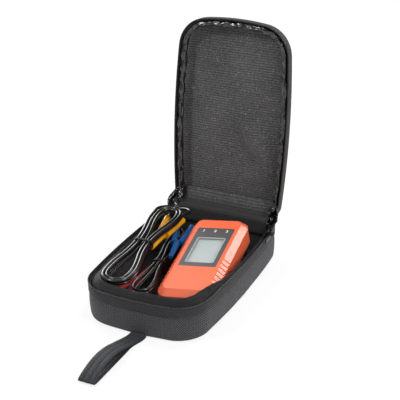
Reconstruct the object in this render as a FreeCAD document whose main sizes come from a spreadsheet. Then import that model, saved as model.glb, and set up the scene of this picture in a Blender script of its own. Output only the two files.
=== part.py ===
import FreeCAD, Part
import math
import os
import Sketcher
from FreeCAD import Placement, Rotation, Vector

# A hand-held three-phase rotation tester in its soft zip case, with three test leads.
# The origin is the middle of the case's flat bottom. X is to the right, Y to the hinge, Z up.

doc = FreeCAD.newDocument("phase_rotation_tester")
sheet = doc.addObject("Spreadsheet::Sheet", "Sizes")

# Driving sizes in millimetres and degrees
SIZES = [
    ("case_width", 145.0, "case: width at the hinge"),
    ("case_length", 237.0, "case: length at the sides"),
    ("side_bow", 6.0, "case: how far each side bows out"),
    ("front_bow", 8.0, "case: how far the front bows out"),
    ("front_corner", 38.0, "case: radius of the front corners"),
    ("rear_corner", 15.0, "case: radius of the rear corners"),
    ("case_wall", 3.0, "case: padded wall"),
    ("lining_wall", 1.5, "case: lining"),
    ("bottom_inset", 7.0, "case: how far the bottom edge is drawn in"),
    ("bottom_round", 7.0, "case: height of the rounded bottom edge"),
    ("parting_height", 46.0, "case: height of the zip line"),
    ("lid_depth", 21.5, "case: depth of the lid above the zip line"),
    ("lid_angle", 97.0, "case: how far the lid stands open"),
    ("rim_drop", 5.0, "case: the walls stop this far from the zip line"),
    ("binding_width", 5.0, "case: width of the glossy binding"),
    ("binding_height", 1.6, "case: height of the glossy binding"),
    ("soft_gap", 0.2, "case: gap between sewn layers"),
    ("tape_height", 11.0, "zip: height of each tape"),
    ("tape_thick", 0.9, "zip: tape thickness"),
    ("coil_diameter", 1.8, "zip: diameter of each coil"),
    ("coil_gap", 0.3, "zip: coil to the zip line"),
    ("slider_length", 11.0, "zip: slider length"),
    ("slider_height", 5.6, "zip: slider height"),
    ("slider_plate", 1.2, "zip: slider plate thickness"),
    ("slider_room", 3.6, "zip: channel between the slider's plates"),
    ("slider_back", 34.5, "zip: rear of the case to the slider"),
    ("slider_turn", 2.1, "zip: turn of the slider along the bowed side"),
    ("bridge_span", 6.0, "zip: length of the bridge that holds the pull"),
    ("bridge_width", 1.8, "zip: width of that bridge"),
    ("bridge_bar", 0.8, "zip: thickness of that bridge"),
    ("pull_rise", 1.3, "zip: height of the pull's axis over the slider"),
    ("pull_length", 22.0, "zip: length of the pull"),
    ("pull_width", 5.2, "zip: width of the pull"),
    ("pull_bar", 0.6, "zip: radius of the pull's cross bar"),
    ("pull_side", 1.2, "zip: width of the pull's side bars"),
    ("pull_window", 6.0, "zip: length of the pull's window"),
    ("hinge_radius", 1.7, "hinge: radius of the sewn fold"),
    ("hinge_length", 104.0, "hinge: length of the sewn fold"),
    ("hinge_out", 1.1, "hinge: how far the fold's axis stands behind the case"),
    ("strap_width", 20.0, "strap: webbing width"),
    ("strap_length", 110.0, "strap: length of the loop"),
    ("strap_thick", 1.5, "strap: webbing thickness"),
    ("strap_rise", 6.5, "strap: opening of the loop"),
    ("strap_tuck", 1.3, "strap: how far its sewn end is tucked under the front"),
    ("meter_width", 71.0, "tester: width"),
    ("meter_length", 158.0, "tester: length"),
    ("meter_thick", 29.6, "tester: thickness"),
    ("meter_corner", 14.0, "tester: corner radius in plan"),
    ("meter_seam", 11.0, "tester: height of the parting seam"),
    ("meter_chamfer", 7.0, "tester: chamfer round the front"),
    ("meter_back_chamfer", 3.0, "tester: chamfer round the back"),
    ("meter_wall", 2.4, "tester: housing wall"),
    ("meter_x", 17.5, "tester: middle of its socket end, across the case"),
    ("meter_y", 85.0, "tester: middle of its socket end, along the case"),
    ("meter_yaw", 7.4, "tester: turn in plan"),
    ("meter_pitch", 7.6, "tester: rise of its socket end on the leads under it"),
    ("meter_roll", 6.0, "tester: lean to its left side"),
    ("meter_rest", 0.3, "tester: gap under its lowest corner"),
    ("panel_width", 47.5, "tester: width of the dark panel"),
    ("panel_length", 81.0, "tester: length of the dark panel"),
    ("panel_start", 24.4, "tester: socket end to the dark panel"),
    ("panel_corner", 2.3, "tester: corner radius of the dark panel"),
    ("panel_thick", 0.8, "tester: panel thickness"),
    ("panel_recess", 1.0, "tester: depth of the panel's recess"),
    ("window_width", 34.0, "tester: width of the display opening"),
    ("window_length", 50.4, "tester: length of the display opening"),
    ("window_start", 46.2, "tester: socket end to the display opening"),
    ("window_corner", 1.2, "tester: corner radius of the display opening"),
    ("lens_thick", 1.3, "tester: thickness of the clear lens"),
    ("lens_lap", 1.6, "tester: lap of the lens behind the panel"),
    ("lens_corner", 1.8, "tester: corner radius of the lens"),
    ("lcd_thick", 3.0, "tester: thickness of the display"),
    ("lcd_lap", 3.0, "tester: border of the display"),
    ("lcd_corner", 1.0, "tester: corner radius of the display"),
    ("roof_wall", 2.6, "tester: housing wall over the display"),
    ("rear_extra", 1.0, "tester: extra wall of the rear half"),
    ("board_thick", 1.6, "tester: circuit board"),
    ("board_gap", 4.2, "tester: board edge to the outside of the housing"),
    ("board_rise", 1.0, "tester: seam to the board"),
    ("board_back", 3.0, "tester: sockets to the board"),
    ("board_corner", 8.0, "tester: corner radius of the board"),
    ("chip_side", 14.0, "tester: side of the main chip"),
    ("chip_height", 1.6, "tester: height of the main chip"),
    ("resistor_radius", 2.2, "tester: dropper resistor radius"),
    ("resistor_length", 9.0, "tester: dropper resistor length"),
    ("resistor_pitch", 12.0, "tester: spacing of the dropper resistors"),
    ("capacitor_radius", 3.0, "tester: capacitor radius"),
    ("capacitor_height", 7.0, "tester: capacitor height"),
    ("capacitor_across", 18.0, "tester: capacitor to the middle line"),
    ("part_gap", 3.0, "tester: gap between parts on the board"),
    ("boss_radius", 3.5, "tester: screw boss radius"),
    ("boss_inset", 12.0, "tester: screw boss to the sides"),
    ("boss_near", 15.0, "tester: screw boss to the near end"),
    ("boss_far", 34.0, "tester: screw boss to the socket end"),
    ("screw_radius", 1.45, "tester: screw shank radius"),
    ("screw_head", 2.7, "tester: screw head radius"),
    ("screw_head_height", 2.0, "tester: screw head height"),
    ("screw_gap", 0.15, "tester: gap round the screws"),
    ("rib_count", 7, "tester: grip grooves on each side"),
    ("rib_pitch", 8.0, "tester: spacing of the grip grooves"),
    ("rib_depth", 1.0, "tester: depth of the grip grooves"),
    ("rib_width", 1.2, "tester: width of the grip grooves"),
    ("rib_near", 16.0, "tester: near end to the first grip groove"),
    ("socket_radius", 4.6, "tester: insulated socket body radius"),
    ("socket_pitch", 16.4, "tester: spacing of the three sockets"),
    ("socket_height", 17.2, "tester: height of the sockets"),
    ("socket_depth", 21.0, "tester: depth of the sockets"),
    ("socket_flange", 1.2, "tester: socket flange"),
    ("socket_rim", 1.2, "tester: rim of the socket flange round the socket"),
    ("sleeve_radius", 3.0, "tester: metal sleeve radius"),
    ("socket_bore", 4.05, "tester: bore for a 4 mm plug"),
    ("fit_gap", 0.05, "gap of parts pushed together"),
    ("cable", 3.8, "leads: cable diameter"),
    ("cable_step", 4.5, "leads: spacing of the wound strands"),
    ("tie_width", 2.6, "leads: width of the tie"),
    ("tie_thick", 1.1, "leads: thickness of the tie"),
    ("tie_room", 0.4, "leads: gap inside the tie"),
    ("plug_radius", 4.5, "plug: grip radius"),
    ("plug_grip", 26.0, "plug: grip length"),
    ("plug_relief", 12.0, "plug: strain relief length"),
    ("plug_pin", 19.0, "plug: pin length"),
    ("pin_diameter", 4.0, "plug: pin diameter"),
    ("clip_jaw", 36.0, "clip: pivot to jaw tip"),
    ("clip_jaw_root", 4.6, "clip: jaw radius at the pivot"),
    ("clip_jaw_tip", 2.4, "clip: jaw radius at the tip"),
    ("clip_handle", 44.0, "clip: pivot to handle end"),
    ("clip_handle_radius", 4.3, "clip: handle radius"),
    ("clip_ball", 4.5, "clip: radius of the handle's round end"),
    ("clip_spread", 9.8, "clip: handle end to the middle"),
    ("clip_lug", 3.8, "clip: hinge lug radius"),
    ("clip_lug_height", 3.4, "clip: hinge lug height"),
    ("clip_gap", 0.3, "clip: gap between its halves"),
    ("clip_pin", 1.2, "clip: hinge pin radius"),
    ("clip_pin_head", 1.9, "clip: radius of the hinge pin's heads"),
    ("clip_pin_gap", 0.05, "clip: running gap of the hinge pin"),
    ("clip_flat", 0.5, "clip: depth of the flat where the cable enters"),
    ("spring_back", 14.0, "clip: pivot to the leaf spring's bend"),
    ("spring_reach", 16.0, "clip: length of the leaf spring"),
    ("spring_thick", 0.6, "clip: leaf spring thickness"),
    ("spring_height", 5.0, "clip: leaf spring height"),
]

for row, (alias, number, note) in enumerate(SIZES, 1):
    sheet.set(f"A{row}", note)
    sheet.set(f"B{row}", str(number))
    sheet.setAlias(f"B{row}", alias)
doc.recompute()


def size(alias):
    return float(sheet.get(alias))


def value(expression):
    return float(sheet.evalExpression(expression))


nodes = []


def keep(item, name):
    """Name a finished sub-part."""
    item.Label = name
    nodes.append(item)
    return item


def feature(name, shape, placement=None):
    """A sub-part with a shape of its own, moved to its place."""
    item = doc.addObject("Part::Feature", name)
    item.Shape = shape
    item.Placement = (placement or Placement()).multiply(shape.Placement)
    return keep(item, name)


def primitive(kind, name, placement=None, **cells):
    """A primitive solid whose sizes are bound to the sheet."""
    item = doc.addObject(kind, name)
    for prop, expression in cells.items():
        item.setExpression(prop, expression)
    item.Placement = placement or Placement()
    return item


def fused(name, pieces, placement=None):
    item = doc.addObject("Part::MultiFuse", name)
    item.Shapes = pieces
    item.Placement = placement or Placement()
    return item


def cut(name, base, tool):
    item = doc.addObject("Part::Cut", name)
    item.Base = base
    item.Tool = tool
    return item


# Carry case: outline and walls

HALF_WIDTH = size("case_width") / 2
HALF_LENGTH = size("case_length") / 2
PARTING = size("parting_height")
RIM = PARTING - size("rim_drop")
SOFT_GAP = size("soft_gap")
FLOOR = size("case_wall") + size("lining_wall")


def circle_meet(first, first_radius, second, second_radius, side):
    """The point at the given distances from two centres, on the given side in X."""
    apart = second - first
    reach = apart.Length
    along = (first_radius ** 2 - second_radius ** 2 + reach ** 2) / (2 * reach)
    across = math.sqrt(first_radius ** 2 - along ** 2)
    ahead = apart / reach
    left = Vector(-ahead.y, ahead.x, 0)
    points = [first + ahead * along + left * across, first + ahead * along - left * across]
    return max(points, key=lambda point: side * point.x)


def outline(inset, height):
    """The case's plan as one wire: straight rear, bowed sides and front, round corners."""
    bow = size("side_bow")
    side_radius = HALF_LENGTH ** 2 / (2 * bow) + bow / 2
    front_bow = size("front_bow")
    front_radius = HALF_WIDTH ** 2 / (2 * front_bow) + front_bow / 2
    front_centre = Vector(0, front_radius - HALF_LENGTH - front_bow, 0)
    rear = size("rear_corner")
    front = size("front_corner")
    side_centre = Vector(HALF_WIDTH + bow - side_radius, 0, 0)
    rear_y = HALF_LENGTH - rear
    rear_x = side_centre.x + math.sqrt((side_radius - rear) ** 2 - rear_y ** 2)
    rear_centre = Vector(rear_x, rear_y, 0)
    corner_centre = circle_meet(side_centre, side_radius - front, front_centre, front_radius - front, 1)

    def on(centre, radius, toward):
        return centre + (toward - centre).normalize() * radius

    def arc_middle(centre, radius, start, end):
        return on(centre, radius, (start + end) / 2)

    rear_end = Vector(rear_x, HALF_LENGTH - inset, 0)
    side_top = on(side_centre, side_radius - inset, rear_centre)
    side_low = on(side_centre, side_radius - inset, corner_centre)
    front_right = on(front_centre, front_radius - inset, corner_centre)
    front_middle = Vector(0, -HALF_LENGTH - front_bow + inset, 0)
    rear_mid = arc_middle(rear_centre, rear - inset, rear_end, side_top)
    side_mid = Vector(HALF_WIDTH + bow - inset, 0, 0)
    corner_mid = arc_middle(corner_centre, front - inset, side_low, front_right)

    def mirrored(point):
        return Vector(-point.x, point.y, 0)

    edges = [
        Part.LineSegment(mirrored(rear_end), rear_end),
        Part.Arc(rear_end, rear_mid, side_top),
        Part.Arc(side_top, side_mid, side_low),
        Part.Arc(side_low, corner_mid, front_right),
        Part.Arc(front_right, front_middle, mirrored(front_right)),
        Part.Arc(mirrored(front_right), mirrored(corner_mid), mirrored(side_low)),
        Part.Arc(mirrored(side_low), mirrored(side_mid), mirrored(side_top)),
        Part.Arc(mirrored(side_top), mirrored(rear_mid), mirrored(rear_end)),
    ]
    wire = Part.Wire([edge.toShape() for edge in edges])
    wire.translate(Vector(0, 0, height))
    return wire


def tray(inset, low, high, drawn_in, rounding):
    """A solid of the case's plan, with its low edge drawn in and rounded."""
    lower_middle = low + rounding * 0.3
    return Part.makeLoft(
        [
            outline(inset + drawn_in, low),
            outline(inset + drawn_in * 0.35, lower_middle),
            outline(inset, low + rounding),
            outline(inset, high),
        ],
        True,
        True,
    )


def ring(outer_inset, inner_inset, low, high):
    """A band that follows the case's plan."""
    outer = Part.Face(outline(outer_inset, low)).extrude(Vector(0, 0, high - low))
    inner = Part.Face(outline(inner_inset, low - 1)).extrude(Vector(0, 0, high - low + 2))
    return outer.cut(inner)


def without_rear(shape):
    """Stop a band short of the hinge, just in front of the rear corners."""
    reach = size("case_length")
    stop = HALF_LENGTH - size("rear_corner")
    block = Part.makeBox(2 * reach, reach, 2 * reach, Vector(-reach, stop, -reach))
    return shape.cut(block)


def mirror_in_parting(shape):
    """Turn a piece of the base into its twin in the closed lid."""
    return shape.mirror(Vector(0, 0, PARTING), Vector(0, 0, 1))


WALL = size("case_wall")
LINING = size("lining_wall")
DRAWN = size("bottom_inset")
ROUND = size("bottom_round")
LID_TOP = PARTING + size("lid_depth")
HINGE_Y = HALF_LENGTH + size("hinge_out")
hinge_point = Vector(0, HINGE_Y, PARTING)
lid_place = Placement(Vector(), Rotation(Vector(-1, 0, 0), size("lid_angle")), hinge_point)

TAPE_LOW = PARTING - size("coil_gap") - size("coil_diameter") - SOFT_GAP - size("tape_height")
TAPE_HIGH = TAPE_LOW + size("tape_height")


def base_shell():
    outer = tray(0, 0, RIM, DRAWN, ROUND)
    inner = tray(WALL, WALL, RIM + 1, DRAWN, ROUND)
    return outer.cut(inner)


def base_lining():
    outer = tray(WALL + SOFT_GAP, WALL, RIM, DRAWN, ROUND)
    inner = tray(WALL + SOFT_GAP + LINING, FLOOR, RIM + 1, DRAWN, ROUND)
    return outer.cut(inner)


def upside_down(shape):
    """Turn a tray over, so that its bottom becomes the closed lid's top."""
    return shape.mirror(Vector(0, 0, LID_TOP / 2), Vector(0, 0, 1))


LID_RIM = LID_TOP - PARTING - size("rim_drop")


def lid_shell():
    outer = tray(0, 0, LID_RIM, DRAWN, ROUND)
    inner = tray(WALL, WALL, LID_RIM + 1, DRAWN, ROUND)
    return upside_down(outer.cut(inner))


def lid_lining():
    outer = tray(WALL + SOFT_GAP, WALL, LID_RIM, DRAWN, ROUND)
    inner = tray(WALL + SOFT_GAP + LINING, FLOOR, LID_RIM + 1, DRAWN, ROUND)
    return upside_down(outer.cut(inner))


def binding():
    low = RIM + SOFT_GAP
    start = WALL - 0.5
    return ring(start, start + size("binding_width"), low, low + size("binding_height"))


def zip_tape():
    outer = -SOFT_GAP - size("tape_thick")
    return without_rear(ring(outer, -SOFT_GAP, TAPE_LOW, TAPE_HIGH))


def zip_coil():
    """The coil's bead, a round tube along the top of the tape."""
    middle = -SOFT_GAP - size("tape_thick") / 2
    radius = size("coil_diameter") / 2
    height = PARTING - size("coil_gap") - radius
    path_wire = outline(middle, height)
    path = Part.Wire(path_wire.Edges[2:7])
    start = path.Edges[0]
    tangent = start.tangentAt(start.FirstParameter)
    profile = Part.Wire(Part.makeCircle(radius, start.valueAt(start.FirstParameter), tangent))
    return without_rear(tube(path, profile))


def tube(path, profile):
    shell = Part.BRepOffsetAPI.MakePipeShell(path)
    shell.add(profile)
    shell.build()
    shell.makeSolid()
    return shell.shape()


feature("case_base_shell", base_shell())
feature("base_lining", base_lining())
feature("base_binding", binding())
feature("zip_tape_base", zip_tape())
feature("zip_coil_base", zip_coil())
feature("case_lid_shell", lid_shell(), lid_place)
feature("lid_lining", lid_lining(), lid_place)
feature("lid_binding", mirror_in_parting(binding()), lid_place)
feature("zip_tape_lid", mirror_in_parting(zip_tape()), lid_place)
feature("zip_coil_lid", mirror_in_parting(zip_coil()), lid_place)


def hinge_strip():
    """The sewn strip on the rear wall, up to the fold."""
    low = TAPE_LOW
    high = PARTING - size("hinge_radius") - 2 * SOFT_GAP
    thick = size("hinge_out") - 2 * SOFT_GAP
    length = size("hinge_length")
    return Part.makeBox(length, thick, high - low, Vector(-length / 2, HALF_LENGTH + SOFT_GAP, low))


hinge_turn = Rotation(Vector(0, 1, 0), 90)
fold = primitive(
    "Part::Cylinder",
    "fold_bead",
    Placement(Vector(-size("hinge_length") / 2, HINGE_Y, PARTING), hinge_turn),
    Radius="Sizes.hinge_radius",
    Height="Sizes.hinge_length",
)
keep(fold, "hinge_fold")
feature("hinge_strip_base", hinge_strip())
feature("hinge_strip_lid", mirror_in_parting(hinge_strip()), lid_place)

# Zip slider and its pull, on the right side near the hinge

SIDE_RADIUS = HALF_LENGTH ** 2 / (2 * size("side_bow")) + size("side_bow") / 2
SIDE_CENTRE_X = HALF_WIDTH + size("side_bow") - SIDE_RADIUS
slider_y = HALF_LENGTH - size("slider_back")
slider_x = SIDE_CENTRE_X + math.sqrt(SIDE_RADIUS ** 2 - slider_y ** 2)
slider_x += SOFT_GAP + size("tape_thick") / 2
slider_turn = Rotation(Vector(0, 0, 1), size("slider_turn"))
slider_place = Placement(Vector(slider_x, slider_y, PARTING), slider_turn)
PULL_REACH = size("slider_room") / 2 + size("slider_plate")
PULL_AXIS = PULL_REACH + size("pull_rise")


def zip_slider():
    """Two plates with a wedge between the coils, and a bridge that holds the pull."""
    length = size("slider_length")
    height = size("slider_height")
    plate = size("slider_plate")
    room = size("slider_room")
    gap = 2 * size("coil_gap")
    plates = [
        Part.makeBox(plate, length, height, Vector(room / 2, -length / 2, -height / 2)),
        Part.makeBox(plate, length, height, Vector(-room / 2 - plate, -length / 2, -height / 2)),
    ]
    wedge = Part.makeBox(room + 2 * plate, length / 4, gap * 0.6, Vector(-PULL_REACH, length / 4, -gap * 0.3))
    span = size("bridge_span")
    wide = size("bridge_width")
    bar = size("bridge_bar")
    top = 2 * (PULL_AXIS - PULL_REACH)
    bridge = Part.makeBox(top + bar, span, wide, Vector(PULL_REACH, -span / 2, -wide / 2))
    inside = Part.makeBox(top, span - 2 * bar, 2 * wide, Vector(PULL_REACH, bar - span / 2, -wide))
    return plates[0].fuse([plates[1], wedge, bridge.cut(inside)])


def zip_pull():
    """A flat tab on two side bars, turning on a cross bar under the slider's bridge."""
    length = size("pull_length")
    width = size("pull_width")
    radius = size("pull_bar")
    side = size("pull_side")
    window = size("pull_window")
    bar = Part.makeCylinder(radius, width, Vector(0, 0, -width / 2))
    tab = Part.makeBox(2 * radius, length, width, Vector(-radius, -length, -width / 2))
    hole = Part.makeBox(4 * radius, window, width - 2 * side, Vector(-2 * radius, -window, side - width / 2))
    pull = tab.cut(hole).fuse(bar)
    pull.translate(Vector(PULL_AXIS, 0, 0))
    return pull


feature("zip_slider", zip_slider(), slider_place)
feature("zip_pull", zip_pull(), slider_place)


def wrist_strap():
    """A loop of webbing that lies on the table in front of the case, sewn together at the case."""
    thick = size("strap_thick")
    root = size("strap_tuck") - HALF_LENGTH - size("front_bow")
    length = size("strap_length")
    rise = size("strap_rise")
    low = 0.2
    joined = root - length * 0.14
    swell = root - length * 0.62
    end = root - length
    outer_top = low + 2 * thick
    bulge = low + 2 * thick + rise

    def profile(grow):
        lower = low + thick - grow
        upper = low + thick + grow
        crown = bulge - thick + grow
        nose = end + thick - grow
        fold_radius = (upper + rise * 0.55 - lower) / 2
        turn = nose + fold_radius
        nose_top = lower + 2 * fold_radius
        slope_in = Vector(0, (joined + swell) / 2, (upper + crown) / 2)
        return [
            Part.LineSegment(Vector(0, joined, lower), Vector(0, turn, lower)).toShape(),
            Part.Arc(Vector(0, turn, lower), Vector(0, nose, lower + fold_radius), Vector(0, turn, nose_top)).toShape(),
            Part.LineSegment(Vector(0, turn, nose_top), Vector(0, swell, crown)).toShape(),
            Part.LineSegment(Vector(0, swell, crown), slope_in).toShape(),
            Part.LineSegment(slope_in, Vector(0, joined, upper)).toShape(),
        ]

    outer_edges = profile(thick)
    tail = [
        Part.LineSegment(Vector(0, joined, outer_top), Vector(0, root, outer_top)).toShape(),
        Part.LineSegment(Vector(0, root, outer_top), Vector(0, root, low)).toShape(),
        Part.LineSegment(Vector(0, root, low), Vector(0, joined, low)).toShape(),
    ]
    inner_edges = profile(0.02)
    close = Part.LineSegment(inner_edges[-1].Vertexes[-1].Point, inner_edges[0].Vertexes[0].Point).toShape()
    outer = Part.Face(Part.Wire(outer_edges + tail))
    inner = Part.Face(Part.Wire(inner_edges + [close]))
    width = size("strap_width")
    loop = outer.cut(inner).extrude(Vector(width, 0, 0))
    return loop.translate(Vector(-width / 2, 0, 0))


feature("wrist_strap", wrist_strap())

# Tester, built flat in its own frame: its socket end at Y = 0, its back at Z = 0

METER_TURN = Rotation(Vector(0, 0, 1), size("meter_yaw"))
METER_TURN = METER_TURN.multiply(Rotation(Vector(1, 0, 0), size("meter_pitch")))
METER_TURN = METER_TURN.multiply(Rotation(Vector(0, -1, 0), size("meter_roll")))
PITCH = math.radians(size("meter_pitch"))
SLOPE_ALONG = math.sin(PITCH)
SLOPE_ACROSS = math.cos(PITCH) * math.sin(math.radians(size("meter_roll")))
back_corner = size("meter_corner") - size("meter_back_chamfer")
meter_rise = SLOPE_ALONG * (size("meter_length") - size("meter_corner"))
meter_rise += SLOPE_ACROSS * (size("meter_width") / 2 - size("meter_corner"))
meter_rise += back_corner * math.hypot(SLOPE_ALONG, SLOPE_ACROSS)
meter_place = Placement(
    Vector(size("meter_x"), size("meter_y"), FLOOR + size("meter_rest") + meter_rise),
    METER_TURN,
)


def origin_plane(body, role):
    return next(item for item in body.Origin.OriginFeatures if item.Role == role)


def new_body(name, height="0"):
    """A body in the tester's frame, whose own floor stands at the given height."""
    body = doc.addObject("PartDesign::Body", name)
    lift = Placement(Vector(0, 0, value(height)), Rotation())
    body.Placement = meter_place.multiply(lift)
    return keep(body, name)


def new_sketch(body, name, role="XY_Plane", offset=None):
    sketch = body.newObject("Sketcher::SketchObject", name)
    sketch.AttachmentSupport = [(origin_plane(body, role), "")]
    sketch.MapMode = "FlatFace"
    if offset:
        sketch.setExpression("AttachmentOffset.Base.z", offset)
    return sketch


def bound(sketch, constraint, name, expression):
    """Add a constraint whose value follows the sheet."""
    index = sketch.addConstraint(constraint)
    sketch.renameConstraint(index, name)
    sketch.setExpression(f"Constraints.{name}", expression)


def rounded_rectangle(sketch, tag, width, start, length, corner):
    """A round-cornered rectangle across the middle line, from start to start + length behind Y = 0."""
    half = value(width) / 2
    top = -value(start)
    low = top - value(length)
    radius = value(corner)
    lines = [
        (-half + radius, low, half - radius, low),
        (half, low + radius, half, top - radius),
        (half - radius, top, -half + radius, top),
        (-half, top - radius, -half, low + radius),
    ]
    arcs = [
        (half - radius, low + radius, 270),
        (half - radius, top - radius, 0),
        (-half + radius, top - radius, 90),
        (-half + radius, low + radius, 180),
    ]
    first = sketch.GeometryCount
    for x1, y1, x2, y2 in lines:
        sketch.addGeometry(Part.LineSegment(Vector(x1, y1, 0), Vector(x2, y2, 0)))
    for x, y, angle in arcs:
        circle = Part.Circle(Vector(x, y, 0), Vector(0, 0, 1), radius)
        sketch.addGeometry(Part.ArcOfCircle(circle, math.radians(angle), math.radians(angle + 90)))
    bottom, right, upper, left = range(first, first + 4)
    for step in range(4):
        arc = first + 4 + step
        sketch.addConstraint(Sketcher.Constraint("Tangent", first + step, 2, arc, 1))
        sketch.addConstraint(Sketcher.Constraint("Tangent", arc, 2, first + (step + 1) % 4, 1))
    sketch.addConstraint(Sketcher.Constraint("Horizontal", upper))
    sketch.addConstraint(Sketcher.Constraint("Vertical", right))
    sketch.addConstraint(Sketcher.Constraint("Vertical", left))
    for step in range(1, 4):
        sketch.addConstraint(Sketcher.Constraint("Equal", first + 4, first + 4 + step))
    sketch.addConstraint(Sketcher.Constraint("Symmetric", bottom, 1, bottom, 2, -2))
    bound(sketch, Sketcher.Constraint("Radius", first + 4, radius), f"{tag}_corner", corner)
    bound(sketch, Sketcher.Constraint("DistanceX", left, 1, right, 1, 2 * half), f"{tag}_width", width)
    bound(sketch, Sketcher.Constraint("DistanceY", bottom, 1, upper, 1, top - low), f"{tag}_length", length)
    reach = f"{start} + {length}"
    bound(sketch, Sketcher.Constraint("DistanceY", bottom, 1, -1, 1, -low), f"{tag}_reach", reach)


def circle_pair(sketch, tag, across, back, radius):
    """Two equal circles either side of the middle line, at a distance behind Y = 0."""
    half = value(across)
    depth = value(back)
    first = sketch.GeometryCount
    for side in (-1, 1):
        sketch.addGeometry(Part.Circle(Vector(side * half, -depth, 0), Vector(0, 0, 1), value(radius)))
    sketch.addConstraint(Sketcher.Constraint("Equal", first, first + 1))
    sketch.addConstraint(Sketcher.Constraint("Symmetric", first, 3, first + 1, 3, -2))
    bound(sketch, Sketcher.Constraint("Radius", first, value(radius)), f"{tag}_radius", radius)
    bound(sketch, Sketcher.Constraint("DistanceX", first, 3, first + 1, 3, 2 * half), f"{tag}_across", f"2 * {across}")
    bound(sketch, Sketcher.Constraint("DistanceY", first, 3, -1, 1, depth), f"{tag}_back", back)


def boss_circles(sketch, radius):
    across = "(Sizes.meter_width / 2 - Sizes.boss_inset)"
    circle_pair(sketch, "far", across, "Sizes.boss_far", radius)
    circle_pair(sketch, "near", across, "Sizes.meter_length - Sizes.boss_near", radius)


def pad(body, sketch, length):
    item = body.newObject("PartDesign::Pad", sketch.Name + "_pad")
    item.Profile = sketch
    item.setExpression("Length", length)
    doc.recompute()
    return item


def pocket(body, sketch, length, reverse):
    """Cut a sketch into the body and make sure that it took something away."""
    before = body.Shape.Volume
    item = body.newObject("PartDesign::Pocket", sketch.Name + "_pocket")
    item.Profile = sketch
    item.Reversed = reverse
    item.setExpression("Length", length)
    doc.recompute()
    if body.Shape.Volume > before - 0.1:
        raise RuntimeError(f"{sketch.Name} cut nothing")
    return item


def edges_at(shape, height):
    """Names of the edges that lie at one height of the body's own frame."""
    names = []
    for number, edge in enumerate(shape.Edges, 1):
        box = edge.BoundBox
        if abs(box.ZMin - height) < 0.01 and abs(box.ZMax - height) < 0.01:
            names.append(f"Edge{number}")
    return names


def chamfer(body, base, height, amount):
    names = edges_at(base.Shape, height)
    item = body.newObject("PartDesign::Chamfer", body.Name + "_chamfer")
    item.Base = (base, names)
    item.setExpression("Size", amount)
    doc.recompute()
    return item


SHELL = ("Sizes.meter_width", "0", "Sizes.meter_length", "Sizes.meter_corner")
CAVITY = (
    "(Sizes.meter_width - 2 * Sizes.meter_wall)",
    "Sizes.meter_wall",
    "(Sizes.meter_length - 2 * Sizes.meter_wall)",
    "(Sizes.meter_corner - Sizes.meter_wall)",
)
FRONT_HEIGHT = "(Sizes.meter_thick - Sizes.meter_seam)"
ROOF = "Sizes.roof_wall"
BOARD_HEIGHT = "(Sizes.meter_seam + Sizes.board_rise)"
BOARD_TOP = f"({BOARD_HEIGHT} + Sizes.board_thick)"
SCREW_HOLE = "(Sizes.screw_radius + Sizes.screw_gap)"


def grip_grooves(body):
    """A row of grooves down both sides of the near half, where the hand holds it."""
    sketch = new_sketch(body, "front_groove")
    half = size("meter_width") / 2
    depth = size("rib_depth")
    low = size("rib_near") - size("meter_length")
    high = low + size("rib_width")
    first = sketch.GeometryCount
    corners = [(half - depth, low), (half + depth, low), (half + depth, high), (half - depth, high)]
    for start, end in zip(corners, corners[1:] + corners[:1]):
        sketch.addGeometry(Part.LineSegment(Vector(*start, 0), Vector(*end, 0)))
    for step in range(4):
        sketch.addConstraint(Sketcher.Constraint("Coincident", first + step, 2, first + (step + 1) % 4, 1))
    for kind, line in (("Horizontal", 0), ("Vertical", 1), ("Horizontal", 2), ("Vertical", 3)):
        sketch.addConstraint(Sketcher.Constraint(kind, first + line))
    inner = "Sizes.meter_width / 2 - Sizes.rib_depth"
    bound(sketch, Sketcher.Constraint("DistanceX", -1, 1, first, 1, half - depth), "inner", inner)
    bound(sketch, Sketcher.Constraint("DistanceX", first, 1, first, 2, 2 * depth), "depth", "2 * Sizes.rib_depth")
    bound(sketch, Sketcher.Constraint("DistanceY", first, 1, -1, 1, -low), "near", "Sizes.meter_length - Sizes.rib_near")
    bound(sketch, Sketcher.Constraint("DistanceY", first + 1, 1, first + 1, 2, high - low), "wide", "Sizes.rib_width")
    groove = pocket(body, sketch, FRONT_HEIGHT, True)
    doc.recompute()
    both = body.newObject("PartDesign::MultiTransform", "front_grooves")
    both.Originals = [groove]
    mirror = body.newObject("PartDesign::Mirrored", "front_groove_mirror")
    mirror.MirrorPlane = (origin_plane(body, "YZ_Plane"), [""])
    row = body.newObject("PartDesign::LinearPattern", "front_groove_row")
    row.Direction = (origin_plane(body, "Y_Axis"), [""])
    row.setExpression("Length", "Sizes.rib_pitch * (Sizes.rib_count - 1)")
    row.setExpression("Occurrences", "Sizes.rib_count")
    both.Transformations = [mirror, row]
    body.Tip = both
    doc.recompute()


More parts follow.
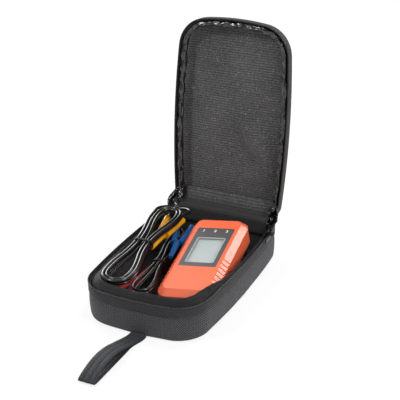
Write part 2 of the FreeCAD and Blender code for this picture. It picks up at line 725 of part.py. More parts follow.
def meter_front_shell():
    body = new_body("meter_front_shell", "Sizes.meter_seam")
    outline_sketch = new_sketch(body, "front_outline")
    rounded_rectangle(outline_sketch, "shell", *SHELL)
    block = pad(body, outline_sketch, FRONT_HEIGHT)
    chamfer(body, block, value(FRONT_HEIGHT), "Sizes.meter_chamfer")
    grip_grooves(body)
    cavity = new_sketch(body, "front_cavity")
    rounded_rectangle(cavity, "cavity", *CAVITY)
    pocket(body, cavity, f"{FRONT_HEIGHT} - Sizes.meter_chamfer", True)
    roof_cavity = new_sketch(body, "front_roof_cavity")
    narrow = "2 * (Sizes.meter_wall + Sizes.meter_chamfer)"
    rounded_rectangle(
        roof_cavity,
        "roof",
        f"(Sizes.meter_width - {narrow})",
        "(Sizes.meter_wall + Sizes.meter_chamfer)",
        f"(Sizes.meter_length - {narrow})",
        "(Sizes.meter_corner - Sizes.meter_chamfer)",
    )
    pocket(body, roof_cavity, f"{FRONT_HEIGHT} - {ROOF}", True)
    recess = new_sketch(body, "front_recess", offset=f"{FRONT_HEIGHT} - Sizes.panel_recess")
    rounded_rectangle(
        recess,
        "recess",
        "(Sizes.panel_width + 2 * Sizes.screw_gap)",
        "(Sizes.panel_start - Sizes.screw_gap)",
        "(Sizes.panel_length + 2 * Sizes.screw_gap)",
        "(Sizes.panel_corner + Sizes.screw_gap)",
    )
    pocket(body, recess, "2 * Sizes.panel_recess", True)
    opening = new_sketch(body, "front_opening")
    lap = "(Sizes.lens_lap + Sizes.screw_gap)"
    rounded_rectangle(
        opening,
        "opening",
        f"(Sizes.window_width + 2 * {lap})",
        f"(Sizes.window_start - {lap})",
        f"(Sizes.window_length + 2 * {lap})",
        "(Sizes.lens_corner + Sizes.screw_gap)",
    )
    pocket(body, opening, FRONT_HEIGHT, True)
    sockets = new_sketch(body, "front_sockets", "XZ_Plane")
    height = "Sizes.socket_height - Sizes.meter_seam"
    radius = "Sizes.socket_radius + Sizes.fit_gap"
    for number in (-1, 0, 1):
        x = number * size("socket_pitch")
        sketch_circle = Part.Circle(Vector(x, value(height), 0), Vector(0, 0, 1), value(radius))
        index = sockets.addGeometry(sketch_circle)
        bound(sockets, Sketcher.Constraint("Radius", index, value(radius)), f"radius{index}", radius)
        bound(sockets, Sketcher.Constraint("DistanceY", -1, 1, index, 3, value(height)), f"height{index}", height)
        if number:
            first, second = ((-1, 1), (index, 3)) if number > 0 else ((index, 3), (-1, 1))
            apart = Sketcher.Constraint("DistanceX", *first, *second, abs(x))
            bound(sockets, apart, f"across{index}", "Sizes.socket_pitch")
        else:
            sockets.addConstraint(Sketcher.Constraint("PointOnObject", index, 3, -2))
    pocket(body, sockets, "2 * Sizes.meter_wall", True)
    posts = new_sketch(body, "front_posts", offset=f"{BOARD_TOP} - Sizes.meter_seam + Sizes.fit_gap")
    boss_circles(posts, "Sizes.boss_radius")
    pad(body, posts, f"Sizes.meter_thick - {ROOF} - {BOARD_TOP}")
    post_holes = new_sketch(body, "front_post_holes")
    boss_circles(post_holes, SCREW_HOLE)
    pocket(body, post_holes, f"{FRONT_HEIGHT} - 2 * {ROOF}", True)


def meter_rear_shell():
    body = new_body("meter_rear_shell")
    outline_sketch = new_sketch(body, "rear_outline")
    rounded_rectangle(outline_sketch, "shell", *SHELL)
    block = pad(body, outline_sketch, "Sizes.meter_seam - Sizes.fit_gap")
    chamfer(body, block, 0, "Sizes.meter_back_chamfer")
    cavity = new_sketch(body, "rear_cavity", offset="Sizes.meter_wall")
    rounded_rectangle(
        cavity,
        "cavity",
        "(Sizes.meter_width - 2 * Sizes.meter_wall - 2 * Sizes.rear_extra)",
        "(Sizes.meter_wall + Sizes.rear_extra)",
        "(Sizes.meter_length - 2 * Sizes.meter_wall - 2 * Sizes.rear_extra)",
        "(Sizes.meter_corner - Sizes.meter_wall - Sizes.rear_extra)",
    )
    pocket(body, cavity, "Sizes.meter_seam", True)
    bosses = new_sketch(body, "rear_bosses", offset="Sizes.meter_wall")
    boss_circles(bosses, "Sizes.boss_radius")
    pad(body, bosses, f"{BOARD_HEIGHT} - Sizes.meter_wall - Sizes.fit_gap")
    holes = new_sketch(body, "rear_screw_holes")
    boss_circles(holes, SCREW_HOLE)
    pocket(body, holes, "Sizes.meter_thick", True)
    head_holes = new_sketch(body, "rear_head_holes")
    boss_circles(head_holes, "Sizes.screw_head + Sizes.screw_gap")
    pocket(body, head_holes, "Sizes.screw_head_height + Sizes.screw_gap", True)


def flat_plate(name, base, width, start, length, corner, thick, holes=None, window=None):
    """A round-cornered plate in the tester, with an optional window and screw holes."""
    body = new_body(name, base)
    plate = new_sketch(body, name + "_outline")
    rounded_rectangle(plate, "plate", width, start, length, corner)
    if window:
        rounded_rectangle(plate, "window", *window)
    if holes:
        boss_circles(plate, holes)
    pad(body, plate, thick)


WINDOW = ("Sizes.window_width", "Sizes.window_start", "Sizes.window_length", "Sizes.window_corner")
LENS_BASE = "(Sizes.meter_thick - Sizes.panel_recess - Sizes.lens_thick - Sizes.fit_gap)"
LCD_BASE = f"(Sizes.meter_thick - {ROOF} - Sizes.lcd_thick - Sizes.fit_gap)"


def tester_plates():
    flat_plate(
        "display_panel",
        "Sizes.meter_thick - Sizes.panel_recess",
        "Sizes.panel_width",
        "Sizes.panel_start",
        "Sizes.panel_length",
        "Sizes.panel_corner",
        "Sizes.panel_thick",
        window=WINDOW,
    )
    lap = "Sizes.lens_lap"
    flat_plate(
        "display_window",
        LENS_BASE,
        f"(Sizes.window_width + 2 * {lap})",
        f"(Sizes.window_start - {lap})",
        f"(Sizes.window_length + 2 * {lap})",
        "Sizes.lens_corner",
        "Sizes.lens_thick",
    )
    lcd = (
        "(Sizes.window_width + 2 * Sizes.lcd_lap)",
        "(Sizes.window_start - Sizes.lcd_lap)",
        "(Sizes.window_length + 2 * Sizes.lcd_lap)",
        "Sizes.lcd_corner",
    )
    flat_plate("lcd_module", LCD_BASE, *lcd, "Sizes.lcd_thick")
    flat_plate(
        "lcd_frame",
        f"{BOARD_TOP} + Sizes.fit_gap",
        *lcd,
        f"{LCD_BASE} - {BOARD_TOP} - 2 * Sizes.fit_gap",
        window=WINDOW,
    )
    flat_plate(
        "circuit_board",
        BOARD_HEIGHT,
        "(Sizes.meter_width - 2 * Sizes.board_gap)",
        "(Sizes.socket_depth + Sizes.board_back)",
        "(Sizes.meter_length - Sizes.socket_depth - Sizes.board_back - Sizes.board_gap)",
        "Sizes.board_corner",
        "Sizes.board_thick",
        holes=SCREW_HOLE,
    )


def board_components():
    """The main chip, three dropper resistors and two capacitors on the board."""
    top = value(BOARD_TOP) + size("fit_gap")
    side = size("chip_side")
    gap = size("part_gap")
    chip_y = -value("Sizes.window_start + Sizes.window_length + Sizes.lcd_lap") - gap - side
    pieces = [Part.makeBox(side, side, size("chip_height"), Vector(-side / 2, chip_y, top))]
    radius = size("resistor_radius")
    length = size("resistor_length")
    for number in (-1, 0, 1):
        start = Vector(number * size("resistor_pitch") - length / 2, chip_y - gap - radius, top + radius)
        pieces.append(Part.makeCylinder(radius, length, start, Vector(1, 0, 0)))
    for number in (-1, 1):
        place = Vector(number * size("capacitor_across"), chip_y + side / 2, top)
        pieces.append(Part.makeCylinder(size("capacitor_radius"), size("capacitor_height"), place))
    feature("board_components", Part.makeCompound(pieces), meter_place)


def input_sockets():
    """Three insulated sockets in the end wall, each with a metal sleeve for a 4 mm plug."""
    back = Rotation(Vector(1, 0, 0), 90)
    sleeves = []
    for number in (-1, 0, 1):
        mouth = Vector(number * size("socket_pitch"), 0, size("socket_height"))
        place = meter_place.multiply(Placement(mouth, back))
        flange_place = Placement(Vector(0, 0, -size("socket_flange")), Rotation())
        label = str(number + 2)
        barrel = primitive(
            "Part::Cylinder", "barrel" + label, Radius="Sizes.socket_radius", Height="Sizes.socket_depth"
        )
        flange = primitive(
            "Part::Cylinder",
            "flange" + label,
            flange_place,
            Radius="Sizes.socket_radius + Sizes.socket_rim",
            Height="Sizes.socket_flange - Sizes.fit_gap",
        )
        neck = primitive(
            "Part::Cylinder",
            "neck" + label,
            flange_place,
            Radius="Sizes.socket_radius",
            Height="Sizes.socket_flange + 1",
        )
        hole = primitive(
            "Part::Cylinder",
            "hole" + label,
            Placement(Vector(0, 0, -2 * size("socket_flange")), Rotation()),
            Radius="Sizes.sleeve_radius + Sizes.fit_gap",
            Height="Sizes.socket_depth + 4 * Sizes.socket_flange",
        )
        socket = cut("input_socket_" + label, fused("socket_body" + label, [barrel, flange, neck]), hole)
        socket.Placement = place
        keep(socket, "input_socket_" + label)
        sleeve = Part.makeCylinder(size("sleeve_radius"), size("socket_depth"))
        bore = Part.makeCylinder(size("socket_bore") / 2, size("socket_depth"))
        sleeve = sleeve.cut(bore)
        sleeve.Placement = place
        sleeves.append(sleeve)
    feature("socket_sleeves", Part.makeCompound(sleeves))


def housing_screws():
    across = size("meter_width") / 2 - size("boss_inset")
    backs = (size("boss_far"), size("meter_length") - size("boss_near"))
    length = value(f"{BOARD_TOP} + 6")
    pieces = []
    for side in (-1, 1):
        for back in backs:
            foot = Vector(side * across, -back, size("screw_gap") / 2)
            head = Part.makeCylinder(size("screw_head"), size("screw_head_height"), foot)
            shank = Part.makeCylinder(size("screw_radius"), length, foot)
            pieces.append(head.fuse(shank))
    feature("housing_screws", Part.makeCompound(pieces), meter_place)


meter_front_shell()
meter_rear_shell()
tester_plates()
board_components()
input_sockets()
housing_screws()

# Test leads: wound cable

CABLE_RADIUS = size("cable") / 2
STEP = size("cable_step")


class Hank:
    """Loops of cable drawn in at the waist, spiralling in and out over two or four layers."""

    def __init__(self, centre, along, half_run, outer, strands, turns_in, layers, step, waist):
        self.centre = centre
        self.u = along.normalize()
        self.w = (Vector(0, 0, 1) - self.u * self.u.z).normalize()
        self.v = self.w.cross(self.u)
        self.half_run = half_run
        self.outer = outer
        self.strands = strands
        self.turns_in = turns_in
        self.layers = layers
        self.step = step
        self.waist = waist
        self.climbs = [turns_in * level for level in range(1, layers)]

    def at(self, u, v, w):
        return self.centre + self.u * u + self.v * v + self.w * w

    def steps_out(self, strand):
        """Half steps of this strand from the innermost one."""
        if self.layers == 2:
            return abs(strand - self.turns_in)
        return abs(self.turns_in - strand % (2 * self.turns_in))

    def ends(self, strand):
        """Start, waist and end of one strand."""
        side = 1 if strand % 2 == 0 else -1
        spread = self.outer - (self.turns_in - self.steps_out(strand)) * self.step / 2
        waist = self.waist + (self.steps_out(strand) // 2) * self.step
        layer = sum(1 for climb in self.climbs if climb < strand)
        climbs = 1 if strand in self.climbs else 0
        low = layer * self.step
        high = (layer + climbs) * self.step
        start = self.at(-side * self.half_run, side * spread, low)
        middle = self.at(0, side * waist, (low + high) / 2)
        end = self.at(side * self.half_run, side * spread, high)
        return start, middle, end, self.u * side

    def edges(self):
        parts = []
        for strand in range(self.strands):
            start, middle, end, ahead = self.ends(strand)
            parts += s_curve(start, middle, ahead) + s_curve(middle, end, ahead)
            if strand + 1 < self.strands:
                following = self.ends(strand + 1)[0]
                radius = (following - end).Length / 2
                apex = (end + following) / 2 + ahead * radius
                parts.append(Part.Arc(end, apex, following).toShape())
        return parts

    def first(self):
        start, _, _, ahead = self.ends(0)
        return start, ahead * -1

    def last(self):
        _, _, end, ahead = self.ends(self.strands - 1)
        return end, ahead

    def waist_box(self):
        """Reach of the strands at the waist, along v and w."""
        spans = [self.ends(strand)[1] - self.centre for strand in range(self.strands)]
        across = [span.dot(self.v) for span in spans]
        high = (self.layers - 1) * self.step
        return min(across) - CABLE_RADIUS, max(across) + CABLE_RADIUS, -CABLE_RADIUS, high + CABLE_RADIUS


def s_curve(start, end, ahead):
    """Two equal arcs from start to end that both run along the same direction."""
    middle = (start + end) / 2

    def bend(origin, target, heading):
        reach = target - origin
        forward = reach.dot(heading)
        aside = reach - heading * forward
        height = aside.Length
        radius = (forward ** 2 + height ** 2) / (2 * height)
        turn = math.atan2(height, forward)
        away = aside / height
        middle_point = origin + heading * (radius * math.sin(turn)) + away * (radius * (1 - math.cos(turn)))
        return middle_point

    first_middle = bend(start, middle, ahead)
    second_middle = bend(end, middle, ahead * -1)
    return [
        Part.Arc(start, first_middle, middle).toShape(),
        Part.Arc(middle, second_middle, end).toShape(),
    ]


def cable_tube(edges):
    path = Part.Wire(edges)
    first = path.Edges[0]
    tangent = first.tangentAt(first.FirstParameter)
    start = first.valueAt(first.FirstParameter)
    if (start - edges[0].Vertexes[0].Point).Length > 0.01:
        raise RuntimeError("the cable's path runs backwards")
    profile = Part.Wire(Part.makeCircle(CABLE_RADIUS, start, tangent))
    solid = tube(path, profile)
    wanted = math.pi * CABLE_RADIUS ** 2 * path.Length
    if abs(solid.Volume / wanted - 1) > 0.01:
        raise RuntimeError(f"cable volume {solid.Volume:.0f} for {wanted:.0f}")
    return solid


def rounded_route(points, name):
    """Straight runs joined by tangent arcs, each as large as its two runs allow."""
    edges = []
    last = points[0]
    radii = []
    for before, corner, after in zip(points, points[1:], points[2:]):
        run_in = corner - before
        run_out = after - corner
        turn = run_in.getAngle(run_out)
        shorter = min(run_in.Length, run_out.Length)
        reach = 0.45 * shorter
        radii.append(reach / math.tan(turn / 2))
        entry = corner - run_in.normalize() * reach
        exit_point = corner + run_out.normalize() * reach
        to_centre = (entry + exit_point) / 2 - corner
        centre_reach = radii[-1] / math.cos(turn / 2)
        middle = corner + to_centre.normalize() * (centre_reach - radii[-1])
        edges.append(Part.LineSegment(last, entry).toShape())
        edges.append(Part.Arc(entry, middle, exit_point).toShape())
        last = exit_point
    edges.append(Part.LineSegment(last, points[-1]).toShape())
    print(name, "radii", [round(radius, 1) for radius in radii])
    return edges


def least_gap(edges, name):
    """Least gap of a wound cable to itself, on points along its path."""
    spacing = 2.0
    points = []
    travelled = 0.0
    for edge in edges:
        count = max(2, int(edge.Length / spacing))
        for step in range(count):
            reach = edge.Length * step / count
            points.append((travelled + reach, edge.valueAt(edge.getParameterByLength(reach))))
        travelled += edge.Length
    apart = 6 * size("cable")
    least = min(
        (first[1] - second[1]).Length
        for number, first in enumerate(points)
        for second in points[number + 1:]
        if second[0] - first[0] > apart
    )
    print(name, "length", round(travelled), "least gap", round(least - size("cable"), 2))


def tie(hank):
    """A band round the hank's waist."""
    left, right, low, high = hank.waist_box()
    room = size("tie_room")
    thick = size("tie_thick")
    width = size("tie_width")

    def block(grow):
        origin = hank.at(-width / 2, left - grow, low - grow)
        wide = right - left + 2 * grow
        tall = high - low + 2 * grow
        corners = [
            origin,
            origin + hank.v * wide,
            origin + hank.v * wide + hank.w * tall,
            origin + hank.w * tall,
        ]
        face = Part.Face(Part.makePolygon(corners + corners[:1]))
        solid = face.extrude(hank.u * width)
        across = [edge for edge in solid.Edges if abs(edge.tangentAt(edge.FirstParameter).dot(hank.u)) > 0.9]
        return solid.makeFillet(CABLE_RADIUS + grow, across)

    return block(room + thick).cut(block(room))


# Plugs and clips, each built along its own X axis


def along_x(start, ahead, up):
    """A placement whose X runs ahead and whose Z stays as near up as it can."""
    x = Vector(ahead).normalize()
    z = (up - x * up.dot(x)).normalize()
    y = z.cross(x)
    return Placement(Vector(start), Rotation(x, y, z, "XYZ"))


def plug(colour, start, ahead):
    """A 4 mm plug: strain relief, grip and pin. The cable meets it at start."""
    place = along_x(start, ahead, Vector(0, 0, 1))
    lie = Rotation(Vector(0, 1, 0), 90)

    def stand(distance):
        return Placement(Vector(distance, 0, 0), lie)

    relief = primitive(
        "Part::Cone",
        "relief_" + colour,
        stand(0),
        Radius1="Sizes.cable / 2 + 0.6",
        Radius2="Sizes.plug_radius * 0.8",
        Height="Sizes.plug_relief",
    )
    grip = primitive(
        "Part::Cylinder",
        "grip_" + colour,
        stand(size("plug_relief")),
        Radius="Sizes.plug_radius",
        Height="Sizes.plug_grip * 0.8",
    )
    nose = primitive(
        "Part::Cone",
        "nose_" + colour,
        stand(size("plug_relief") + size("plug_grip") * 0.8),
        Radius1="Sizes.plug_radius",
        Radius2="Sizes.plug_radius * 0.75",
        Height="Sizes.plug_grip * 0.2",
    )
    body = fused("plug_grip_" + colour, [relief, grip, nose], place)
    keep(body, "plug_grip_" + colour)
    pin_start = size("plug_relief") + size("plug_grip") + size("fit_gap")
    pin = primitive(
        "Part::Cylinder",
        "pin_" + colour,
        place.multiply(stand(pin_start)),
        Radius="Sizes.pin_diameter / 2",
        Height="Sizes.plug_pin",
    )
    keep(pin, "plug_pin_" + colour)


def clip_half(side):
    """One half of a crocodile clip, on one side: a D-shaped jaw, a handle with a round end and a hinge lug."""
    gap = size("clip_gap") / 2
    jaw = Part.makeCone(
        size("clip_jaw_root"), size("clip_jaw_tip"), size("clip_jaw"), Vector(0, 0, 0), Vector(1, 0, 0)
    )
    reach = size("clip_jaw") + size("clip_handle")
    other_side = min(side * gap, side * (gap - reach))
    jaw = jaw.cut(Part.makeBox(2 * reach, reach, 2 * reach, Vector(-reach, other_side, -reach)))
    root = size("clip_handle_radius") + gap
    start = Vector(0, side * root, 0)
    end = Vector(-size("clip_handle"), side * size("clip_spread"), 0)
    handle = Part.makeCylinder(size("clip_handle_radius"), (end - start).Length, start, end - start)
    ball = Part.makeSphere(size("clip_ball"), end)
    half = jaw.fuse([handle, ball])
    back = (end - start).normalize()
    flat_start = end + back * (size("clip_ball") - size("clip_flat"))
    half = half.cut(Part.makeCylinder(reach, reach, flat_start, back))
    lug_height = size("clip_lug_height")
    tall = 2 * size("clip_jaw_root")
    clear = size("clip_lug") + 2 * gap
    low = 0 if side > 0 else -tall
    half = half.cut(Part.makeCylinder(clear, tall, Vector(0, 0, low)))
    own = -tall if side > 0 else 0
    half = half.cut(Part.makeCylinder(size("clip_pin_head") + 2 * gap, tall, Vector(0, 0, own)))
    lug_low = -lug_height - gap if side > 0 else gap
    lug = Part.makeCylinder(size("clip_lug"), lug_height, Vector(0, 0, lug_low))
    half = half.fuse(lug)
    hole = Part.makeCylinder(size("clip_pin") + size("clip_pin_gap"), 2 * tall, Vector(0, 0, -tall))
    half = half.cut(hole).removeSplitter()
    return half, flat_start, back


def clip_pin():
    """The hinge pin with a low head at both ends."""
    reach = size("clip_lug_height") + size("clip_gap")
    head = 0.8
    pin = Part.makeCylinder(size("clip_pin"), 2 * reach, Vector(0, 0, -reach))
    upper = Part.makeCylinder(size("clip_pin_head"), head, Vector(0, 0, reach))
    lower = Part.makeCylinder(size("clip_pin_head"), head, Vector(0, 0, -reach - head))
    return pin.fuse([upper, lower])


def clip_spring():
    """A bent leaf that pushes the handles apart."""
    thick = size("spring_thick")
    lean = (size("clip_spread") - size("clip_handle_radius") - size("clip_gap") / 2) / size("clip_handle")
    bend_x = -size("spring_back")
    tip_x = bend_x - size("spring_reach")

    def side_of(x):
        return -x * lean - size("clip_gap")

    def leaf(offset):
        root = Vector(bend_x - 2, side_of(bend_x - 2) - offset, 0)
        tip = Vector(tip_x, side_of(tip_x) - offset, 0)
        fold_tip = Vector(bend_x - offset, 0, 0)
        return [
            Part.LineSegment(tip, root),
            Part.Arc(root, fold_tip, Vector(root.x, -root.y, 0)),
            Part.LineSegment(Vector(root.x, -root.y, 0), Vector(tip.x, -tip.y, 0)),
        ]

    outer = leaf(0)
    inner = leaf(thick)
    ends = [
        Part.LineSegment(outer[0].StartPoint, inner[0].StartPoint),
        Part.LineSegment(outer[2].EndPoint, inner[2].EndPoint),
    ]
    wire = Part.Wire(Part.__sortEdges__([curve.toShape() for curve in outer + inner + ends]))
    height = size("spring_height")
    return Part.Face(wire).extrude(Vector(0, 0, height)).translate(Vector(0, 0, -height / 2))


def clip(colour, pivot, ahead, up):
    """A crocodile clip. Returns where its cable enters, and which way it points out."""
    place = along_x(pivot, ahead, Vector(0, 0, up))
    carrier, entry, back = clip_half(1)
    feature("clip_body_" + colour, carrier, place)
    feature("clip_lever_" + colour, clip_half(-1)[0], place)
    feature("clip_pin_" + colour, clip_pin(), place)
    feature("clip_spring_" + colour, clip_spring(), place)
    return place.multVec(entry), place.Rotation.multVec(back)


def lead_end(name, leaving, route, arriving):
    """A free end of a lead, from its hank through the chosen points to a plug or clip."""
    start, heading = leaving
    target, inward = arriving
    run_out, points, run_in = route
    path = [start, start + heading * run_out]
    path += [Vector(*point) for point in points]
    path += [target - inward * run_in, target]
    feature(name, cable_tube(rounded_route(path, name)))


def lead(colour, hank, clip_from, clip_pose, clip_route, plug_pose, plug_route):
    """One test lead: its hank and tie, its plug and clip, and the cable out to them."""
    edges = hank.edges()
    least_gap(edges, colour)
    feature("lead_hank_" + colour, cable_tube(edges))
    feature("lead_tie_" + colour, tie(hank))
    ends = {"first": hank.first(), "last": hank.last()}
    plug_from = "last" if clip_from == "first" else "first"
    plug(colour, *plug_pose)
    entry, back = clip(colour, *clip_pose)
    lead_end("lead_clip_end_" + colour, ends[clip_from], clip_route, (entry, back * -1))
    lead_end("lead_plug_end_" + colour, ends[plug_from], plug_route, plug_pose)


lead(
    "yellow",
    Hank(Vector(-45.3, -12, 50.2), Vector(0.03, -0.99, -0.05), 74, 16.5, 8, 3, 2, STEP, STEP / 2),
    "first",
    (Vector(-43, 28, 45.5), Vector(0.12, -0.99, 0), -1),
    (11, [(-32, 85, 53.6), (-39, 93.5, 52), (-50, 97.5, 49), (-59.5, 95, 46.5)], 10),
    (Vector(-42.5, 105, 9.4), Vector(1, 0, 0)),
    (
        11,
        [(-65, 83, 56), (-64, 93, 52), (-61.8, 100.5, 45), (-60.8, 104.3, 35), (-60.2, 105.5, 24), (-57.5, 105.3, 14.5)],
        8,
    ),
)
lead(
    "red",
    Hank(Vector(-26, -10, 16.1), Vector(-0.12, 0.99, 0), 60, 11.5, 9, 2, 4, STEP, STEP / 2),
    "first",
    (Vector(-46, -36, 12.9), Vector(0, 1, 0), 1),
    (10, [(-29.2, -91, 16.3), (-34.5, -101, 15.9), (-44.5, -106, 14.9), (-54, -103.6, 13.7)], 8),
    (Vector(-30, 56, 9.4), Vector(0, -1, 0)),
    (10, [(-46.8, 68, 29.8), (-47.4, 76.5, 28.4), (-42.5, 83.5, 22.5), (-35.3, 83.5, 14.5), (-30.7, 76, 10)], 10),
)
lead(
    "blue",
    Hank(Vector(25, 46, 8.0), Vector(0.073, -0.997, 0), 24, 25, 12, 5, 2, 4.9, 9.0),
    "last",
    (Vector(-24.5, 30.3, 36.1), Vector(0.25, -0.968, 0), 1),
    (10, [(-5.8, 87, 13.4), (-8.6, 95.4, 16), (-15.3, 99.6, 21.8), (-22.6, 99.3, 30)], 9.5),
    (Vector(64.9, 71.8, 9.5), Vector(0, -1, 0)),
    (9.4, [(52.9, 87.6, 8.4), (59.4, 87.6, 8.9)], 9.3),
)

doc.recompute()

failed = [item.Name for item in doc.Objects if "Invalid" in item.State or "Error" in item.State]
if failed:
    raise RuntimeError(f"failed: {failed}")
for item in nodes:
    if item.Shape.isNull() or not item.Shape.isValid() or not item.Shape.Solids:
        raise RuntimeError(f"bad shape: {item.Label}")

os.makedirs("parts", exist_ok=True)
for item in nodes:
    item.Shape.exportStep(f"parts/{item.Label}.step")
print(len(nodes), "sub-parts")
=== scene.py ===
# %% [markdown]
# A hand-held three-phase rotation tester in its soft zip case, with three wound test leads. The imported CAD
# model is the fixed frame. The object could be modelled here from nothing, but then it would drift away
# from the solids that fit and move, so this script dresses them: sewn fabric, glossy binding, moulded
# plastic and cables. The first cell loads the frame and gives a way to measure the box of any of its parts.

# %% Load the frame
import math
import bpy
import bmesh
from mathutils import Matrix, Quaternion, Vector, noise


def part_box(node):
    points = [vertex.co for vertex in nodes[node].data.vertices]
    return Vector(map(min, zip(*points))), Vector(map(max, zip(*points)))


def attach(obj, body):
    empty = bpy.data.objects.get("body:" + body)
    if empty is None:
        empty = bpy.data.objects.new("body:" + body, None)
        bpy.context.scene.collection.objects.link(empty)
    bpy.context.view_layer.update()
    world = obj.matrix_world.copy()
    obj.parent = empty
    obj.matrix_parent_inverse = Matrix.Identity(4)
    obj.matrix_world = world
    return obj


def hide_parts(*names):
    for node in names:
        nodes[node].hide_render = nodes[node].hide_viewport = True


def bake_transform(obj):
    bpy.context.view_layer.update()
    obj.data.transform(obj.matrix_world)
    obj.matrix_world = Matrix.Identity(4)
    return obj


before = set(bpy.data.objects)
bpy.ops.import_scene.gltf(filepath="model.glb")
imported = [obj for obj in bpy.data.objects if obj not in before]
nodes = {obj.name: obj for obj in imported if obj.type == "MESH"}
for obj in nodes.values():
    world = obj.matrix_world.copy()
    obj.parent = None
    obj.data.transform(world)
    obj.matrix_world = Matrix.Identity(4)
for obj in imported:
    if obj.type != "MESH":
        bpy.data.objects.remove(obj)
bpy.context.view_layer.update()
noise.seed_set(1)  # so that the cloth is ruffled in the same way at each run
MM = 0.001

# %% [markdown]
# The camera looks at the open case through a long lens, from a little above it and from its right. It could
# be set by eye, but it was solved from the case's corners, so its place is real, in the frame's metres.

# %% Camera
CAMERA_EYE = Vector((0.5683, -1.1079, 0.7146))
CAMERA_TARGET = Vector((-0.0001, 0.0477, 0.0931))
CAMERA_ROLL = math.radians(-1.01)


def put(name, data):
    """Put a new object into the scene."""
    item = bpy.data.objects.new(name, data)
    bpy.context.scene.collection.objects.link(item)
    return item


camera_data = bpy.data.cameras.new("camera")
camera_data.sensor_width = 36.0
camera_data.lens = 105.5
camera = put("camera", camera_data)
camera.location = CAMERA_EYE
aim = (CAMERA_TARGET - CAMERA_EYE).to_track_quat("-Z", "Y") @ Quaternion((0, 0, 1), CAMERA_ROLL)
camera.rotation_euler = aim.to_euler()
bpy.context.scene.camera = camera
bpy.context.scene.view_settings.view_transform = "Standard"
print("camera", round((CAMERA_TARGET - CAMERA_EYE).length, 3), "m away")

# %% [markdown]
# Materials are node trees. They could be plain colours, but a real surface drifts in colour and has a
# grain. One function turns a colour as a painter writes it, sRGB hex, into the linear light that the shader
# needs. Another adds a node with its settings and links in one line, so that a tree reads from top to
# bottom. Where a node has several sockets of one name, they go by number: 6 and 7 are the two colours of a
# mix, and 1 to 4 are the ends of the old and the new range in a map range.

# %% Colour and node helpers
def linear(hex_colour):
    """Linear RGBA of an sRGB hex colour."""
    channels = [int(hex_colour[start:start + 2], 16) / 255 for start in (1, 3, 5)]
    return tuple(c / 12.92 if c <= 0.04045 else ((c + 0.055) / 1.055) ** 2.4 for c in channels) + (1.0,)


def add(tree, kind, inputs=None, links=None, **settings):
    """Add one node with its settings, fixed inputs and links."""
    node = tree.nodes.new(kind)
    for name, setting in settings.items():
        setattr(node, name, setting)
    for name, number in (inputs or {}).items():
        node.inputs[name].default_value = number
    for name, socket in (links or {}).items():
        tree.links.new(socket, node.inputs[name])
    return node


def start_material(name, colour, roughness, **sockets):
    """A material whose shader has its plain values set. Returns it with its tree and shader."""
    material = bpy.data.materials.new(name)
    material.use_nodes = True
    tree = material.node_tree
    shader = tree.nodes["Principled BSDF"]
    shader.inputs["Base Color"].default_value = linear(colour)
    shader.inputs["Roughness"].default_value = roughness
    for socket, number in sockets.items():
        shader.inputs[socket.replace("_", " ").title().replace("Ior", "IOR")].default_value = number
    return material, tree, shader


def drift_and_grain(tree, shader, share, dark, light, height, depth):
    """Let the colour drift between two shades, and raise the surface, as deep as the given metres."""
    drift = add(tree, "ShaderNodeMix", {6: linear(dark), 7: linear(light)}, {0: share}, data_type="RGBA")
    tree.links.new(drift.outputs[2], shader.inputs["Base Color"])
    raised = add(tree, "ShaderNodeBump", {"Strength": 1.0, "Distance": depth}, {"Height": height})
    tree.links.new(raised.outputs["Normal"], shader.inputs["Normal"])


# %% [markdown]
# The case is sewn from coarse woven nylon. A weave is two sets of threads that pass over and under each
# other: a checker says which thread is on top, and two band waves give each thread its round back. Threads
# could be modelled one by one, but they would take millions of faces, so they are colour and bump. The colour
# follows the threads' height: dark between them is painted shade, and light on their backs is painted
# highlight. They are drawn about 2 mm wide, coarser than real ones, so that they show in the render.

# %% Woven nylon
CASE_THREAD = 2.2 * MM
STRAP_THREAD = 1.9 * MM
BINDING_THREAD = 1.8 * MM
ON_THE_BIAS = math.radians(45)
WAVE_PERIOD = 2 * math.pi / 20  # a band wave of scale 1 repeats after this many units


def weave_height(tree, thread, turn):
    """Height of a plain weave on a surface whose UVs are in metres."""
    place = add(tree, "ShaderNodeTexCoord").outputs["UV"]
    mapping = add(tree, "ShaderNodeMapping", {"Rotation": (0, 0, turn)}, {"Vector": place}).outputs["Vector"]
    waves = []
    for direction in ("X", "Y"):
        wave = add(
            tree, "ShaderNodeTexWave", {"Scale": WAVE_PERIOD / thread}, {"Vector": mapping},
            bands_direction=direction,
        )
        waves.append(wave.outputs["Fac"])
    checker = add(tree, "ShaderNodeTexChecker", {"Scale": 1 / thread}, {"Vector": mapping})
    mix = add(tree, "ShaderNodeMix", None, {0: checker.outputs["Fac"], 2: waves[0], 3: waves[1]})
    return mix.outputs[0]


def woven_nylon(name, dark, light, thread, depth, turn=0.0, sheen=0.1):
    """Coarse nylon cloth, matt with a faint sheen on the backs of its threads."""
    material, tree, shader = start_material(
        name, light, 0.65, sheen_weight=sheen, sheen_roughness=0.4, specular_ior_level=0.25
    )
    height = weave_height(tree, thread, turn)
    # Painted shade and highlight: the colour follows the weave's height, dark between the threads and light
    # on their backs.
    drift_and_grain(tree, shader, height, dark, light, height, depth)
    return material


case_nylon = woven_nylon("woven_nylon_black", "#0a0a0c", "#58585c", CASE_THREAD, 0.6 * MM, ON_THE_BIAS)
strap_nylon = woven_nylon("nylon_webbing_black", "#1a1b1e", "#3c3d42", STRAP_THREAD, 0.3 * MM)
tape_nylon = woven_nylon("zip_tape_nylon", "#09090a", "#3e3e41", CASE_THREAD, 0.4 * MM, ON_THE_BIAS, 0.06)
binding_tape = woven_nylon("binding_tape_nylon", "#060607", "#131314", BINDING_THREAD, 0.15 * MM, sheen=0.0)
print("woven cloths", case_nylon.name, strap_nylon.name, tape_nylon.name, binding_tape.name)
